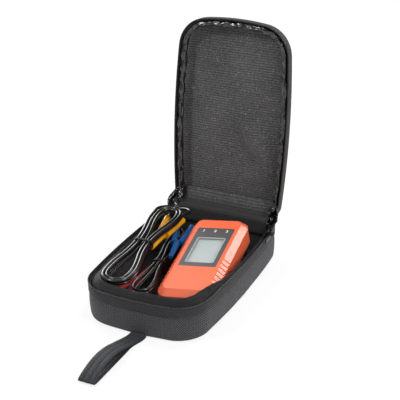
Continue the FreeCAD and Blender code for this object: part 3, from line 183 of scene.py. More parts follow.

# %% [markdown]
# The lining is a knitted pile: soft and matt, in rows across the case, with loose fibres that catch the light
# as bright specks, which are painted highlights in its colour. Hair could make a real pile, but it would be
# lost in an exported mesh, so fine noise stands in for the fibres and a broad noise for the way the pile
# lies.
# Where the knit is low its colour is darker, which is painted shade. Rows are 3.2 mm apart here and fibres
# 1.4 mm long, coarser than knitting, so that they show in the render.

# %% Pile lining
ROW = 3.2 * MM
FIBRE = 1.43 * MM
PAINTED_GLINT_SIZE = 1.61 * MM
LIE = 55.6 * MM
PAINTED_SHADE_BLACK = "#0c0c0c"
PLAIN_PILE = ("#1e1e1e", "#676667", "#919092")
# A darker copy of the pile's colours: painted shade for the base's lining.
PAINTED_SHADE_PILE = ("#0e0e0e", "#363536", "#5a595b")


def pile(name, dark, light, painted_glint_colour, painted_shade_heights=None):
    """Knitted pile with rows along X. Between two heights it goes from painted shade, below, to its plain
    colour.
    """
    material, tree, shader = start_material(name, light, 0.92, sheen_weight=0.2, sheen_roughness=0.5)
    place = add(tree, "ShaderNodeTexCoord").outputs["Object"]
    here = {"Vector": place}
    fibre = add(tree, "ShaderNodeTexNoise", {"Scale": 1 / FIBRE, "Detail": 4.0}, here).outputs["Fac"]
    lie = add(tree, "ShaderNodeTexNoise", {"Scale": 1 / LIE, "Detail": 3.0}, here).outputs["Fac"]
    rows = add(
        tree, "ShaderNodeTexWave", {"Scale": WAVE_PERIOD / ROW, "Distortion": 1.5, "Detail Scale": 60.0},
        here, bands_direction="Z",
    ).outputs["Fac"]
    ribbed = add(tree, "ShaderNodeMapRange", {3: 0.62, 4: 1.0}, {0: rows}).outputs[0]
    calm = add(tree, "ShaderNodeMapRange", {1: 0.3, 2: 0.7, 3: 0.43, 4: 0.57}, {0: lie}).outputs[0]
    lying = add(tree, "ShaderNodeMath", None, {0: fibre, 1: calm}, operation="MULTIPLY").outputs[0]
    knit = add(tree, "ShaderNodeMath", None, {0: lying, 1: ribbed}, operation="MULTIPLY").outputs[0]
    # Painted shade: the colour is darker where the knit is low.
    shade = add(tree, "ShaderNodeMapRange", {1: 0.1, 2: 0.38}, {0: knit}).outputs[0]
    shades = {6: linear(dark), 7: linear(light)}
    cloth = add(tree, "ShaderNodeMix", shades, {0: shade}, data_type="RGBA").outputs[2]
    # Painted highlights: bright specks where loose fibres would catch the light.
    glint = add(tree, "ShaderNodeTexNoise", {"Scale": 1 / PAINTED_GLINT_SIZE, "Detail": 1.0}, here).outputs["Fac"]
    painted_glint_share = add(tree, "ShaderNodeMapRange", {1: 0.62, 2: 0.78, 4: 0.7}, {0: glint}).outputs[0]
    painted_glint_mix = {7: linear(painted_glint_colour)}
    colour = add(tree, "ShaderNodeMix", painted_glint_mix, {0: painted_glint_share, 6: cloth}, data_type="RGBA").outputs[2]
    # Painted shade: below the given heights the colour goes to near-black.
    if painted_shade_heights:
        low, high = painted_shade_heights
        height = add(tree, "ShaderNodeSeparateXYZ", None, {0: place}).outputs["Z"]
        above_painted_shade = add(tree, "ShaderNodeMapRange", {1: low, 2: high, 3: 0.15, 4: 1.0}, {0: height}).outputs[0]
        black = {6: linear(PAINTED_SHADE_BLACK)}
        colour = add(tree, "ShaderNodeMix", black, {0: above_painted_shade, 7: colour}, data_type="RGBA").outputs[2]
    tree.links.new(colour, shader.inputs["Base Color"])
    raised = add(tree, "ShaderNodeBump", {"Strength": 1.0, "Distance": 0.6 * MM}, {"Height": knit})
    tree.links.new(raised.outputs["Normal"], shader.inputs["Normal"])
    return material


lining_pile = pile("knitted_pile_lining", *PLAIN_PILE)
painted_shade_pile = pile("knitted_pile_lining_painted_shade", *PAINTED_SHADE_PILE)
# The hinge lining's pile is darkened below its fold by painted shade.
fold_pile = pile("knitted_pile_lining_fold", *PLAIN_PILE, painted_shade_heights=(49 * MM, 58 * MM))
print("pile nodes", len(fold_pile.node_tree.nodes))

# %% [markdown]
# The binding is a thin glossy PVC film over foam tape. It crumples where it goes round the rim, and each
# crumple throws a thin highlight. A cloth simulation could crumple it, but noise is easier to steer: the
# large crumples are in the mesh, and a bump adds the smallest ones, about 6 mm apart.

# %% Glossy binding
SMALL_CRUMPLE = 5.88 * MM


def glossy_film():
    """Black film with creases that break up its gloss."""
    material, tree, shader = start_material(
        "pvc_film_black", "#0d0d0e", 0.16, coat_weight=0.8, coat_roughness=0.06
    )
    here = {"Vector": add(tree, "ShaderNodeTexCoord").outputs["Object"]}
    crease = add(tree, "ShaderNodeTexNoise", {"Scale": 1 / SMALL_CRUMPLE, "Detail": 3.0}, here).outputs["Fac"]
    raised = add(tree, "ShaderNodeBump", {"Strength": 1.0, "Distance": 1.2 * MM}, {"Height": crease})
    tree.links.new(raised.outputs["Normal"], shader.inputs["Normal"])
    return material


binding_film = glossy_film()
print("binding film", binding_film.name)

# %% [markdown]
# Moulded plastics: the orange housing is ABS with a fine spark-eroded texture, the dark panel is a printed
# film, plugs and clips are polyamide and glossier. The colour drifts a little, as regrind and handling make
# it do. Each could have a tree of its own, but they differ only in colour, gloss and grain, so one function
# makes them all. The grain is drawn at 0.7 mm, coarser than a spark leaves it, so that it breaks up the
# highlight.

# %% Moulded plastics
COLOUR_DRIFT = 71.4 * MM


def moulded(name, dark, light, roughness, grain=0.7 * MM, depth=0.03 * MM, coat=0.0):
    """Moulded plastic: nearly even colour, and a fine grain that breaks up its highlight."""
    material, tree, shader = start_material(name, light, roughness, coat_weight=coat, coat_roughness=0.12)
    here = {"Vector": add(tree, "ShaderNodeTexCoord").outputs["Object"]}
    drift = add(tree, "ShaderNodeTexNoise", {"Scale": 1 / COLOUR_DRIFT, "Detail": 2.0}, here).outputs["Fac"]
    fine = add(tree, "ShaderNodeTexNoise", {"Scale": 1 / grain, "Detail": 2.0}, here).outputs["Fac"]
    drift_and_grain(tree, shader, drift, dark, light, fine, depth)
    return material


housing_abs = moulded("abs_orange_red", "#ee6640", "#f5704a", 0.36, coat=0.25)
panel_film = moulded("printed_film_dark_grey", "#4a4849", "#555353", 0.4)
socket_nylon = moulded("moulded_nylon_black", "#151516", "#202022", 0.4)
tie_plastic = moulded("tie_wire_plastic_black", "#111112", "#1d1d1e", 0.45)
board_resin = moulded("glass_epoxy_green", "#0f4a2a", "#17603a", 0.4)
chip_epoxy = moulded("epoxy_black", "#101010", "#1c1c1c", 0.5)
bezel_plastic = moulded("bezel_light_grey", "#8b9092", "#a7acae", 0.35)
mark_white = moulded("printed_white", "#dfe2e3", "#f2f4f5", 0.5)
lead_plastic = {
    "yellow": moulded("polyamide_yellow", "#eba400", "#f8b912", 0.3, coat=0.2),
    "red": moulded("polyamide_red", "#b21d1f", "#d22a2b", 0.3, coat=0.2),
    "blue": moulded("polyamide_blue", "#084c88", "#0d60a6", 0.28, coat=0.2),
}
cable_pvc = moulded(
    "soft_pvc_black", "#08080a", "#111112", 0.3, grain=2.5 * MM, depth=0.004 * MM, coat=0.5
)
print("lead colours", list(lead_plastic))

# %% [markdown]
# Metals: nickel on the plugs' pins, zinc on the clips' pins, springs and screws, brass sleeves, black
# lacquer on the zip's slider. A metal keeps the default IOR, because its colour is what it reflects. The
# marks that turning and stamping leave could be an image, but stretched noise has no seam. They are drawn
# half a millimetre apart, coarser than real ones, so that they show.

# %% Metals
MARK_LENGTH = 3.33 * MM
MARK_PITCH = 0.556 * MM


def metal(name, dark, light, roughness, metallic=1.0):
    """Metal with fine marks across its length."""
    material, tree, shader = start_material(name, light, roughness, metallic=metallic)
    place = add(tree, "ShaderNodeTexCoord").outputs["Object"]
    stretch = (1 / MARK_LENGTH, 1 / MARK_LENGTH, 1 / MARK_PITCH)
    mapping = add(tree, "ShaderNodeMapping", {"Scale": stretch}, {"Vector": place}).outputs["Vector"]
    marks = add(tree, "ShaderNodeTexNoise", {"Scale": 1.0, "Detail": 3.0}, {"Vector": mapping}).outputs["Fac"]
    drift_and_grain(tree, shader, marks, dark, light, marks, 0.02 * MM)
    return material


nickel = metal("nickel_plate", "#b4b3b0", "#d6d5d2", 0.25)
brass = metal("turned_brass", "#b08d45", "#d2b168", 0.3)
zinc_steel = metal("zinc_plated_steel", "#9a9b9d", "#c0c1c3", 0.35)
black_lacquer = metal("lacquered_zinc_black", "#111112", "#232324", 0.35, metallic=0.4)
print("metals", nickel.name, brass.name, zinc_steel.name, black_lacquer.name)

# %% [markdown]
# The display is a passive LCD: a grey-green film, a little cloudy, under a clear acrylic lens. It could
# glow, but this kind only sends back the light of the room, and at rest there is no figure on it.

# %% Display materials
LCD_CLOUD = 33.3 * MM
LENS_RIPPLE = 16.7 * MM


def lcd_film():
    """The display's front film."""
    material, tree, shader = start_material("lcd_polariser_grey_green", "#9ca8a8", 0.35)
    here = {"Vector": add(tree, "ShaderNodeTexCoord").outputs["Object"]}
    cloud = add(tree, "ShaderNodeTexNoise", {"Scale": 1 / LCD_CLOUD, "Detail": 2.0}, here).outputs["Fac"]
    shades = {6: linear("#95a2a2"), 7: linear("#a4afae")}
    colour = add(tree, "ShaderNodeMix", shades, {0: cloud}, data_type="RGBA").outputs[2]
    tree.links.new(colour, shader.inputs["Base Color"])
    return material


def clear_acrylic():
    """A lens that is almost not there, apart from its gloss."""
    material, tree, shader = start_material("clear_acrylic", "#fbfdfc", 0.05, ior=1.49, alpha=0.1)
    here = {"Vector": add(tree, "ShaderNodeTexCoord").outputs["Object"]}
    ripple = add(tree, "ShaderNodeTexNoise", {"Scale": 1 / LENS_RIPPLE, "Detail": 2.0}, here).outputs["Fac"]
    raised = add(tree, "ShaderNodeBump", {"Strength": 1.0, "Distance": 0.001 * MM}, {"Height": ripple})
    tree.links.new(raised.outputs["Normal"], shader.inputs["Normal"])
    return material


lcd_grey = lcd_film()
lens_acrylic = clear_acrylic()
print("materials", len(bpy.data.materials))

# %% [markdown]
# Rigid CAD parts are shown as they are, each in the finish of its real material. No moulded or stamped edge
# is perfectly sharp. Such small rounds could be in the CAD model too, but only the eye needs them, so a
# narrow bevel modifier breaks the edges here.

# %% Dress the rigid CAD parts
FINISHES = [
    ("meter_front_shell", housing_abs, 0.6), ("meter_rear_shell", housing_abs, 0.6),
    ("display_panel", panel_film, 0.2), ("display_window", lens_acrylic, 0.1), ("lcd_module", lcd_grey, 0.2),
    ("lcd_frame", bezel_plastic, 0.3), ("circuit_board", board_resin, 0.1),
    ("board_components", chip_epoxy, 0.2), ("input_socket_1", socket_nylon, 0.3),
    ("input_socket_2", socket_nylon, 0.3), ("input_socket_3", socket_nylon, 0.3),
    ("socket_sleeves", brass, 0.15), ("housing_screws", zinc_steel, 0.2), ("zip_slider", black_lacquer, 0.25),
    ("zip_pull", black_lacquer, 0.25),
]  # part, finish, and width of its broken edge in millimetres
for colour, plastic in lead_plastic.items():
    FINISHES += [
        ("plug_grip_" + colour, plastic, 0.5), ("plug_pin_" + colour, nickel, 0.3),
        ("clip_body_" + colour, plastic, 0.4), ("clip_lever_" + colour, plastic, 0.4),
        ("clip_pin_" + colour, zinc_steel, 0.2), ("clip_spring_" + colour, zinc_steel, 0.1),
        ("lead_tie_" + colour, tie_plastic, 0.5),
    ]
for name, material, edge in FINISHES:
    item = nodes[name]
    item.data.materials.clear()
    item.data.materials.append(material)
    bevel = item.modifiers.new("broken_edges", "BEVEL")
    bevel.width = edge * MM
    bevel.segments = 3
    bevel.limit_method = "ANGLE"
    bevel.angle_limit = math.radians(35)
    bevel.harden_normals = True
print("rigid parts", len(FINISHES))

# %% [markdown]
# The case's plan is a run of tangent arcs: a straight rear, small rear corners, bowed sides, large front
# corners and a bowed front. It could be traced point by point, but arcs stay smooth and follow the base
# shell's box. Points and outward normals are worked out once, and every sewn layer is that plan moved in or
# out along its normals.

# %% Plan of the case
base_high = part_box("case_base_shell")[1]
SIDE_BOW = 6.0 * MM
FRONT_BOW = 8.0 * MM
FRONT_CORNER = 38.0 * MM
REAR_CORNER = 15.0 * MM
HALF_LENGTH = base_high.y
HALF_WIDTH = base_high.x - SIDE_BOW
PARTING = 46.0 * MM
LID_TOP = 67.5 * MM
HINGE = Vector((0, HALF_LENGTH + 1.1 * MM, PARTING))
LID_ANGLE = math.radians(-97)
LID_TURN = Matrix.Translation(HINGE) @ Matrix.Rotation(LID_ANGLE, 4, "X") @ Matrix.Translation(-HINGE)
REAR_STEPS = 14  # points of the plan on each of its runs, from the middle of the rear to that of the front
REAR_CORNER_STEPS = 10
SIDE_STEPS = 46
FRONT_CORNER_STEPS = 18
FRONT_STEPS = 20


def bow_radius(half_chord, bow):
    """Radius of an arc that rises by a bow over a chord."""
    return half_chord ** 2 / (2 * bow) + bow / 2


def corner_centre(side, side_reach, front, front_reach):
    """The right-hand point at the given distances from two circle centres."""
    apart = front - side
    along = (side_reach ** 2 - front_reach ** 2 + apart.length ** 2) / (2 * apart.length)
    across = math.sqrt(side_reach ** 2 - along ** 2)
    ahead = apart.normalized()
    left = Vector((-ahead.y, ahead.x))
    return max((side + ahead * along + left * sign * across for sign in (-1, 1)), key=lambda p: p.x)


def arc(centre, radius, start, end, count):
    """Points on an arc with their outward normals, without its last point."""
    angles = [start + (end - start) * step / count for step in range(count)]
    normals = [Vector((math.cos(angle), math.sin(angle))) for angle in angles]
    return [(centre + normal * radius, normal) for normal in normals]


# %% Right half of the plan, and its mirror image
def case_plan():
    """Points and normals from the middle of the rear, clockwise round the right side to the rear again."""
    side_radius = bow_radius(HALF_LENGTH, SIDE_BOW)
    front_radius = bow_radius(HALF_WIDTH, FRONT_BOW)
    side = Vector((HALF_WIDTH + SIDE_BOW - side_radius, 0))
    front = Vector((0, front_radius - HALF_LENGTH - FRONT_BOW))
    rear_y = HALF_LENGTH - REAR_CORNER
    rear = Vector((side.x + math.sqrt((side_radius - REAR_CORNER) ** 2 - rear_y ** 2), rear_y))
    corner = corner_centre(side, side_radius - FRONT_CORNER, front, front_radius - FRONT_CORNER)

    def angle(start, end):
        return math.atan2(end.y - start.y, end.x - start.x)

    half = [(Vector((rear.x * step / REAR_STEPS, HALF_LENGTH)), Vector((0, 1))) for step in range(REAR_STEPS)]
    half += arc(rear, REAR_CORNER, math.pi / 2, angle(side, rear), REAR_CORNER_STEPS)
    half += arc(side, side_radius, angle(side, rear), angle(side, corner), SIDE_STEPS)
    half += arc(corner, FRONT_CORNER, angle(side, corner), angle(front, corner), FRONT_CORNER_STEPS)
    half += arc(front, front_radius, angle(front, corner), -math.pi / 2, FRONT_STEPS)
    half.append((Vector((0, -HALF_LENGTH - FRONT_BOW)), Vector((0, -1))))
    left = [(Vector((-p.x, p.y)), Vector((-n.x, n.y))) for p, n in reversed(half[1:-1])]
    return half + left


PLAN = case_plan()
print("plan points", len(PLAN))


def round_the_front(start):
    """The plan without its rear, from a point at the right rear corner to its twin on the left."""
    return PLAN[start:len(PLAN) - start + 1]


# %% [markdown]
# One mesh function covers every sewn piece: a grid of points, closed or open each way, with end caps. Cloth
# could be sculpted, but points from a formula can be measured and changed. UVs are written in metres, so
# that a weave has its real size wherever it goes. Walls take them along and up the rows, and flat ends take
# them straight from their points.

# %% Mesh from a grid of points
FLAT_BELOW = 0.93  # a closed row shorter than this share of the longest lies in a flat end


def row_length(row):
    """Length of a row of points."""
    return sum((second - first).length for first, second in zip(row, row[1:]))


def heading(line, number):
    """Which way a line of points goes at one of them."""
    return (line[min(number + 1, len(line) - 1)] - line[max(number - 1, 0)]).normalized()


def lay_flat(face, uv):
    """UVs of a flat face straight from its points."""
    face.normal_update()
    second = 1 if abs(face.normal.z) > abs(face.normal.y) else 2
    for loop in face.loops:
        loop[uv].uv = (loop.vert.co.x, loop.vert.co[second])


# %% Faces of one grid
def add_grid(mesh, uv, grid, across_closed, around_closed, smooth):
    """Add the faces of one grid, with caps on the ends that are left open."""
    rows = [[mesh.verts.new(point) for point in row] for row in grid]
    lengths = [row_length(row) for row in grid]
    longest = grid[lengths.index(max(lengths))]
    flat = [across_closed and length < FLAT_BELOW * max(lengths) for length in lengths]
    reach_u = [0.0]
    for first, second in zip(longest, longest[1:] + longest[:1]):
        reach_u.append(reach_u[-1] + (second - first).length)
    reach_v = [0.0]
    column = len(grid[0]) // 4
    for first, second in zip(grid, grid[1:] + grid[:1]):
        reach_v.append(reach_v[-1] + (second[column] - first[column]).length)
    count_v, count_u = len(grid), len(grid[0])
    for v in range(count_v if around_closed else count_v - 1):
        for u in range(count_u if across_closed else count_u - 1):
            corners = ((v, u), (v, u + 1), (v + 1, u + 1), (v + 1, u))
            face = mesh.faces.new([rows[a % count_v][b % count_u] for a, b in corners])
            face.smooth = smooth
            if flat[v] or flat[(v + 1) % count_v]:
                lay_flat(face, uv)
                continue
            for loop, (a, b) in zip(face.loops, corners):
                loop[uv].uv = (reach_u[b], reach_v[a])
    caps = []
    if across_closed and not around_closed:
        caps = [rows[0][::-1], rows[-1]]
    if around_closed and not across_closed:
        caps = [[row[0] for row in rows], [row[-1] for row in rows][::-1]]
    for cap in caps:
        lay_flat(mesh.faces.new(cap), uv)


# %% Pieces from grids
def skin(name, grid, material, across_closed=True, around_closed=False, smooth=True, more=()):
    """A mesh through rows of points. Each row runs around, and rows follow each other across."""
    mesh = bmesh.new()
    uv = mesh.loops.layers.uv.new("metres")
    for each in (grid, *more):
        add_grid(mesh, uv, each, across_closed, around_closed, smooth)
    bmesh.ops.recalc_face_normals(mesh, faces=mesh.faces)
    data = bpy.data.meshes.new(name)
    mesh.to_mesh(data)
    mesh.free()
    data.materials.append(material)
    return put(name, data)


def tube(name, grid, material, more=()):
    """A mesh whose rows run along it and close around it."""
    return skin(name, grid, material, across_closed=False, around_closed=True, more=more)


def turns(count):
    """Even angles round a circle."""
    return [2 * math.pi * step / count for step in range(count)]


# %% Rows round the case
def on_rim(station, inset, height, scale=1.0):
    """A plan point moved in along its normal, at a height, both in millimetres."""
    point, normal = station
    place = (point - normal * inset * MM) * scale
    return Vector((place.x, place.y, height * MM))


def ring(inset, height, scale=1.0, points=PLAN):
    """The plan moved in by an inset at a height."""
    return [on_rim(station, inset, height, scale) for station in points]


def ruffle(grid, depth, grain, seed):
    """Shift every point by smooth noise, as cloth and film are never quite even."""
    away = Vector((seed * 7.3, seed * 1.9, seed * 4.1))
    for row in grid:
        for number, point in enumerate(row):
            row[number] = point + noise.noise_vector(point / grain + away) * depth


# %% Bodies and the open lid
def dressed(item, body, slot, *replaced):
    """Let a piece ride on its body, in the place of the named CAD nodes."""
    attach(item, body)
    if replaced:
        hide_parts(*replaced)
    print(item.name, "rides on", body)


LID_DRAW = 0.967  # the lid's soft sides draw in a little when nothing holds them


def open_lid(grid):
    """Move a piece of the closed lid to where the lid stands open."""
    return [[LID_TURN @ Vector((p.x * LID_DRAW, p.y, p.z)) for p in row] for row in grid]


def twin_in_lid(grid):
    """The lid's twin of a piece on the base's rim."""
    return open_lid([[Vector((p.x, p.y, 2 * PARTING - p.z)) for p in row] for row in grid])


# %% [markdown]
# The base is a padded tray. Its sides swell between the corners, the bottom edge is drawn in, and the cloth
# goes over the rim. The CAD shell could carry the cloth as a texture, but a sewn wall is never so even, so
# it is made again from a profile. Profiles list inset and height in millimetres, from the bottom up and
# over to the inside. A third number shrinks the ring, for the flat cloth at the ends.


def tray(name, profile, material, body, slot, replaced, seed, depth=0.5 * MM, grain=28 * MM, fold=None):
    """A sewn tray from a profile, closed by flat cloth at both ends."""
    grid = [ring(*entry) for entry in profile]
    ruffle(grid, depth, grain, seed)
    if fold:
        grid = [[fold(point) for point in row] for row in grid]
    if body == "lid":
        grid = open_lid(grid)
    item = skin(name, grid, material)
    dressed(item, body, slot, replaced)


BASE_CLOTH = [
    (12, 0.2, 0.3), (12, 0.2, 0.7), (12, 0.1), (6, 0.1), (3, 0.5), (1.2, 1.8), (0.4, 4.2), (0, 8),
    (-0.4, 13), (-0.6, 19), (-0.6, 25), (-0.3, 30), (0.2, 32), (0.6, 33), (0.3, 35), (0.2, 38), (0.3, 40.6),
    (0.9, 41.4), (1.6, 41.4), (2.4, 40.6), (2.7, 34), (2.8, 20), (3.1, 10), (5.4, 5.2), (10, 3.1),
    (12, 3, 0.6),
]
tray("base_cloth", BASE_CLOTH, case_nylon, "base", "case_fabric", "case_base_shell", seed=1)
BASE_LINING = [
    (12.5, 3.3, 0.5), (10, 3.4), (5.8, 5.6), (3.5, 10.4), (3.3, 20), (3.3, 36), (3.4, 40.8), (4, 41.2),
    (4.7, 40.6), (4.9, 36), (4.9, 20), (5, 12), (7.2, 7), (11.5, 4.6), (12.5, 4.5, 0.75),
    (12.5, 4.5, 0.35),
]
# The base's lining has the darker pile: painted shade.
tray(
    "base_lining_cloth", BASE_LINING, painted_shade_pile, "base", "case_lining", "base_lining", seed=2, depth=0.4 * MM
)

# %% [markdown]
# The lid is the same tray, shallower and upside down. Its lining is a soft panel that dips and swells, and
# one slanting fold runs over it. The fold could be a bump in the material, but it stands high enough to
# cast a shadow, so it is in the mesh.

# %% Lid of the case
def upside_down(profile):
    """A profile measured down from the lid's top."""
    return [(inset, LID_TOP / MM - height, *scale) for inset, height, *scale in profile]


LID_CLOTH = upside_down([
    (12, -0.9, 0.3), (12, -0.6, 0.7), (12, -0.1), (7, 0.1), (4.2, 0.8), (2.2, 2.3), (0.8, 4.6), (0.1, 7),
    (0.3, 10), (0.7, 11), (0.3, 12.5), (0.3, 15.6), (0.9, 16.5), (1.7, 16.5), (2.4, 15.6), (2.8, 11),
    (3.4, 8), (5.6, 5.2), (10, 3.1), (12, 3, 0.6),
])
tray("lid_cloth", LID_CLOTH, case_nylon, "lid", "case_fabric", "case_lid_shell", seed=3)

# %% Lining of the lid
PANEL_RINGS = 40
PANEL_SHARES = [step / PANEL_RINGS for step in range(1, PANEL_RINGS + 1)]
LID_PANEL = [(12.5, 5.5 + 0.5 * math.sin(math.pi * share), 0.96 - 0.9 * share) for share in PANEL_SHARES]
LID_LINING = upside_down([
    (12.5, 3.3, 0.5), (10, 3.4), (5.8, 5.6), (3.6, 9), (3.4, 14), (3.5, 15.8), (4.1, 16.3), (4.9, 15.8),
    (5.2, 13), (5.4, 9.5), (7, 7), (10.5, 5.4), (12.5, 5.2, 0.96), *LID_PANEL,
])
PUCKER_START = Vector((0, -12)) * MM
PUCKER_END = Vector((62, 66)) * MM
PUCKER_SLOPE = 15 * MM
PUCKER_STEEP = 8 * MM
PUCKER_HEIGHT = 7 * MM
PUCKER_ABOVE = PARTING + 12 * MM


def pucker(point):
    """The lining is pulled into one slanting fold on the right of the lid, steep on one side."""
    ahead = PUCKER_END - PUCKER_START
    place = Vector((point.x, point.y)) - PUCKER_START
    along = place.dot(ahead) / ahead.length_squared
    across = (place.x * ahead.y - place.y * ahead.x) / ahead.length
    width = PUCKER_SLOPE if across > 0 else PUCKER_STEEP
    share = max(0.0, math.sin(math.pi * min(1.0, max(0.0, along)))) * math.exp(-(across / width) ** 2)
    drop = PUCKER_HEIGHT * share if point.z > PUCKER_ABOVE else 0
    return Vector((point.x, point.y, point.z - drop))


tray(
    "lid_lining_cloth", LID_LINING, lining_pile, "lid", "case_lining", "lid_lining", seed=4,
    depth=0.9 * MM, grain=30 * MM, fold=pucker,
)

# %% [markdown]
# Round the lid's rim the binding is a soft roll of film, from one hinge corner to the other. A curve with a
# round bevel could be that roll, but without any crease. So it is a mesh, and noise with a long grain lays
# the creases along the run. It bunches up at the hinge corners. The base's rim has a hem of dull tape
# instead, which leans in along the front as a flap over what lies in the case.

# %% Binding round both rims
BINDING_START = 17  # plan point early in the rear corner
BINDING_SPACING = 1.8 * MM


def resample(points, spacing):
    """Plan points at an even spacing."""
    made = []
    carried = 0.0
    for (start, first), (end, second) in zip(points, points[1:]):
        reach = (end - start).length
        while carried < reach:
            share = carried / reach
            made.append((start.lerp(end, share), first.lerp(second, share).normalized()))
            carried += spacing
        carried -= reach
    return made


BINDING_RUN = resample(round_the_front(BINDING_START), BINDING_SPACING)
print("binding points", len(BINDING_RUN))

# %% Roll of film on the lid
ROLL_SIDES = 24
ROLL_INSET = 5.6  # millimetres, as the next three
ROLL_HEIGHT = 40.2
ROLL_WIDE = 6.6
ROLL_TALL = 8.0
ROLL_SEED = 6
FINE_SEED = 26
BUNCH_REACH = 14  # millimetres from the hinge corner
BUNCH_SWELL = 0.35
CREASES = (11, 1.5, 0.55)  # length along the roll in millimetres, lumps round it, and depth as a share
FINE_CREASES = (3.5, 2.2, 0.25)


def creased(kind, along, turn, seed):
    """Noise that closes round the roll."""
    length, lumps, depth = kind
    place = Vector((along / length, lumps * math.cos(turn), seed + lumps * math.sin(turn)))
    return depth * noise.noise(place)


def lid_binding():
    """A crumpled roll of film along the lid's rim."""
    grid = []
    for turn in turns(ROLL_SIDES):
        row = []
        for number, station in enumerate(BINDING_RUN):
            along = number * BINDING_SPACING / MM
            to_end = min(number, len(BINDING_RUN) - 1 - number) * BINDING_SPACING / MM
            bunch = math.exp(-(to_end / BUNCH_REACH) ** 2)
            swell = 1 + BUNCH_SWELL * bunch + creased(CREASES, along, turn, ROLL_SEED)
            swell += creased(FINE_CREASES, along, turn, FINE_SEED)
            across = ROLL_INSET + ROLL_WIDE / 2 * swell * math.cos(turn)
            level = ROLL_HEIGHT + ROLL_TALL / 2 * (1 + bunch) * swell * math.sin(turn)
            row.append(on_rim(station, across, level))
        grid.append(row)
    item = tube("lid_binding_roll", twin_in_lid(grid), binding_film)
    dressed(item, "lid", "case_binding", "lid_binding")


lid_binding()

# %% Hem and flap on the base
SIDE_LIP = [
    (2.6, 39.6), (2.7, 41.6), (3.6, 42.8), (5.2, 43), (6.8, 42.7), (7.6, 41.8), (7.2, 40.9), (5.4, 41.2),
    (4.6, 39.6),
]
FRONT_FLAP = [
    (2.6, 39.6), (2.7, 41.6), (4.6, 43.4), (8.8, 46.4), (13.2, 49.2), (14.4, 49.1), (13.6, 48), (8.2, 44.7),
    (4.8, 40.4),
]
FLAP_START = 15  # millimetres ahead of the case's middle where the hem starts to widen
FLAP_RISE = 78
SAG_LENGTH = 30
SAG_DEPTH = 0.25
SAG_SEED = 3.1


def ease(share):
    """A soft rise from 0 to 1, level at both ends."""
    share = min(1.0, max(0.0, share))
    return share * share * (3 - 2 * share)


def base_binding():
    """A hem of tape round the base's rim that widens to a flap along the front."""
    grid = []
    for (side_inset, side_height), (front_inset, front_height) in zip(SIDE_LIP, FRONT_FLAP):
        row = []
        for number, station in enumerate(BINDING_RUN):
            share = ease((-station[0].y / MM - FLAP_START) / FLAP_RISE)
            sag = noise.noise(Vector((number * BINDING_SPACING / MM / SAG_LENGTH, SAG_SEED, 0))) * share
            inset = side_inset + (front_inset - side_inset) * share
            level = side_height + (front_height - side_height) * share * (1 + SAG_DEPTH * sag)
            row.append(on_rim(station, inset, level))
        grid.append(row)
    ruffle(grid, 0.5 * MM, 9 * MM, 5)
    item = tube("base_binding_hem", grid, binding_tape)
    dressed(item, "base", "case_binding", "base_binding")


base_binding()

# %% [markdown]
# The zip is a woven tape sewn outside each rim, and a nylon coil along its edge. Single teeth could be set
# out one by one, but there are hundreds. So the coil is a bead whose thickness swells once per tooth, and
# the teeth are still in the mesh.

# %% Zip
ZIP_START = 20  # plan point late in the rear corner
ZIP_POINTS = round_the_front(ZIP_START)
TAPE = [(-0.2, 33), (-0.9, 33), (-1.1, 34), (-1.1, 43), (-0.9, 43.7), (-0.2, 43.7)]
COIL_HEIGHT = 44.8
COIL_RADIUS = 0.9
COIL_INSET = -0.65
COIL_SIDES = 8
TOOTH = 1.6 * MM
TOOTH_STEPS = 3
TOOTH_GAP = 0.72  # thickness of the coil between two teeth, as a share


def zip_teeth():
    """A bead of teeth along the tape's edge."""
    points = resample(ZIP_POINTS, TOOTH / TOOTH_STEPS)
    grid = []
    for turn in turns(COIL_SIDES):
        row = []
        for number, station in enumerate(points):
            radius = COIL_RADIUS * (1.0 if number % TOOTH_STEPS == 0 else TOOTH_GAP)
            inset = COIL_INSET + radius * math.cos(turn)
            row.append(on_rim(station, inset, COIL_HEIGHT + radius * math.sin(turn)))
        grid.append(row)
    return grid


def zip_half(body, tape, teeth):
    """The tape and the teeth on one rim."""
    dressed(tube(body + "_zip_tape", tape, tape_nylon), body, "zip_tape", "zip_tape_" + body)
    dressed(tube(body + "_zip_teeth", teeth, socket_nylon), body, "zip_coil", "zip_coil_" + body)


TAPE_ROWS = [ring(inset, height, points=ZIP_POINTS) for inset, height in TAPE]
zip_half("base", TAPE_ROWS, zip_teeth())
zip_half("lid", twin_in_lid(TAPE_ROWS), twin_in_lid(zip_teeth()))

# %% [markdown]
# The lid turns on cloth. Outside, a strip is sewn to both rear walls. Inside, the lining carries on from
# the base's rear wall into the lid. Each could be cut in two at the hinge, but then it would gape when the
# lid moves, so each is one piece, made where the lid stands open.

# %% Cloth at the hinge
STRIP_STEPS = 40


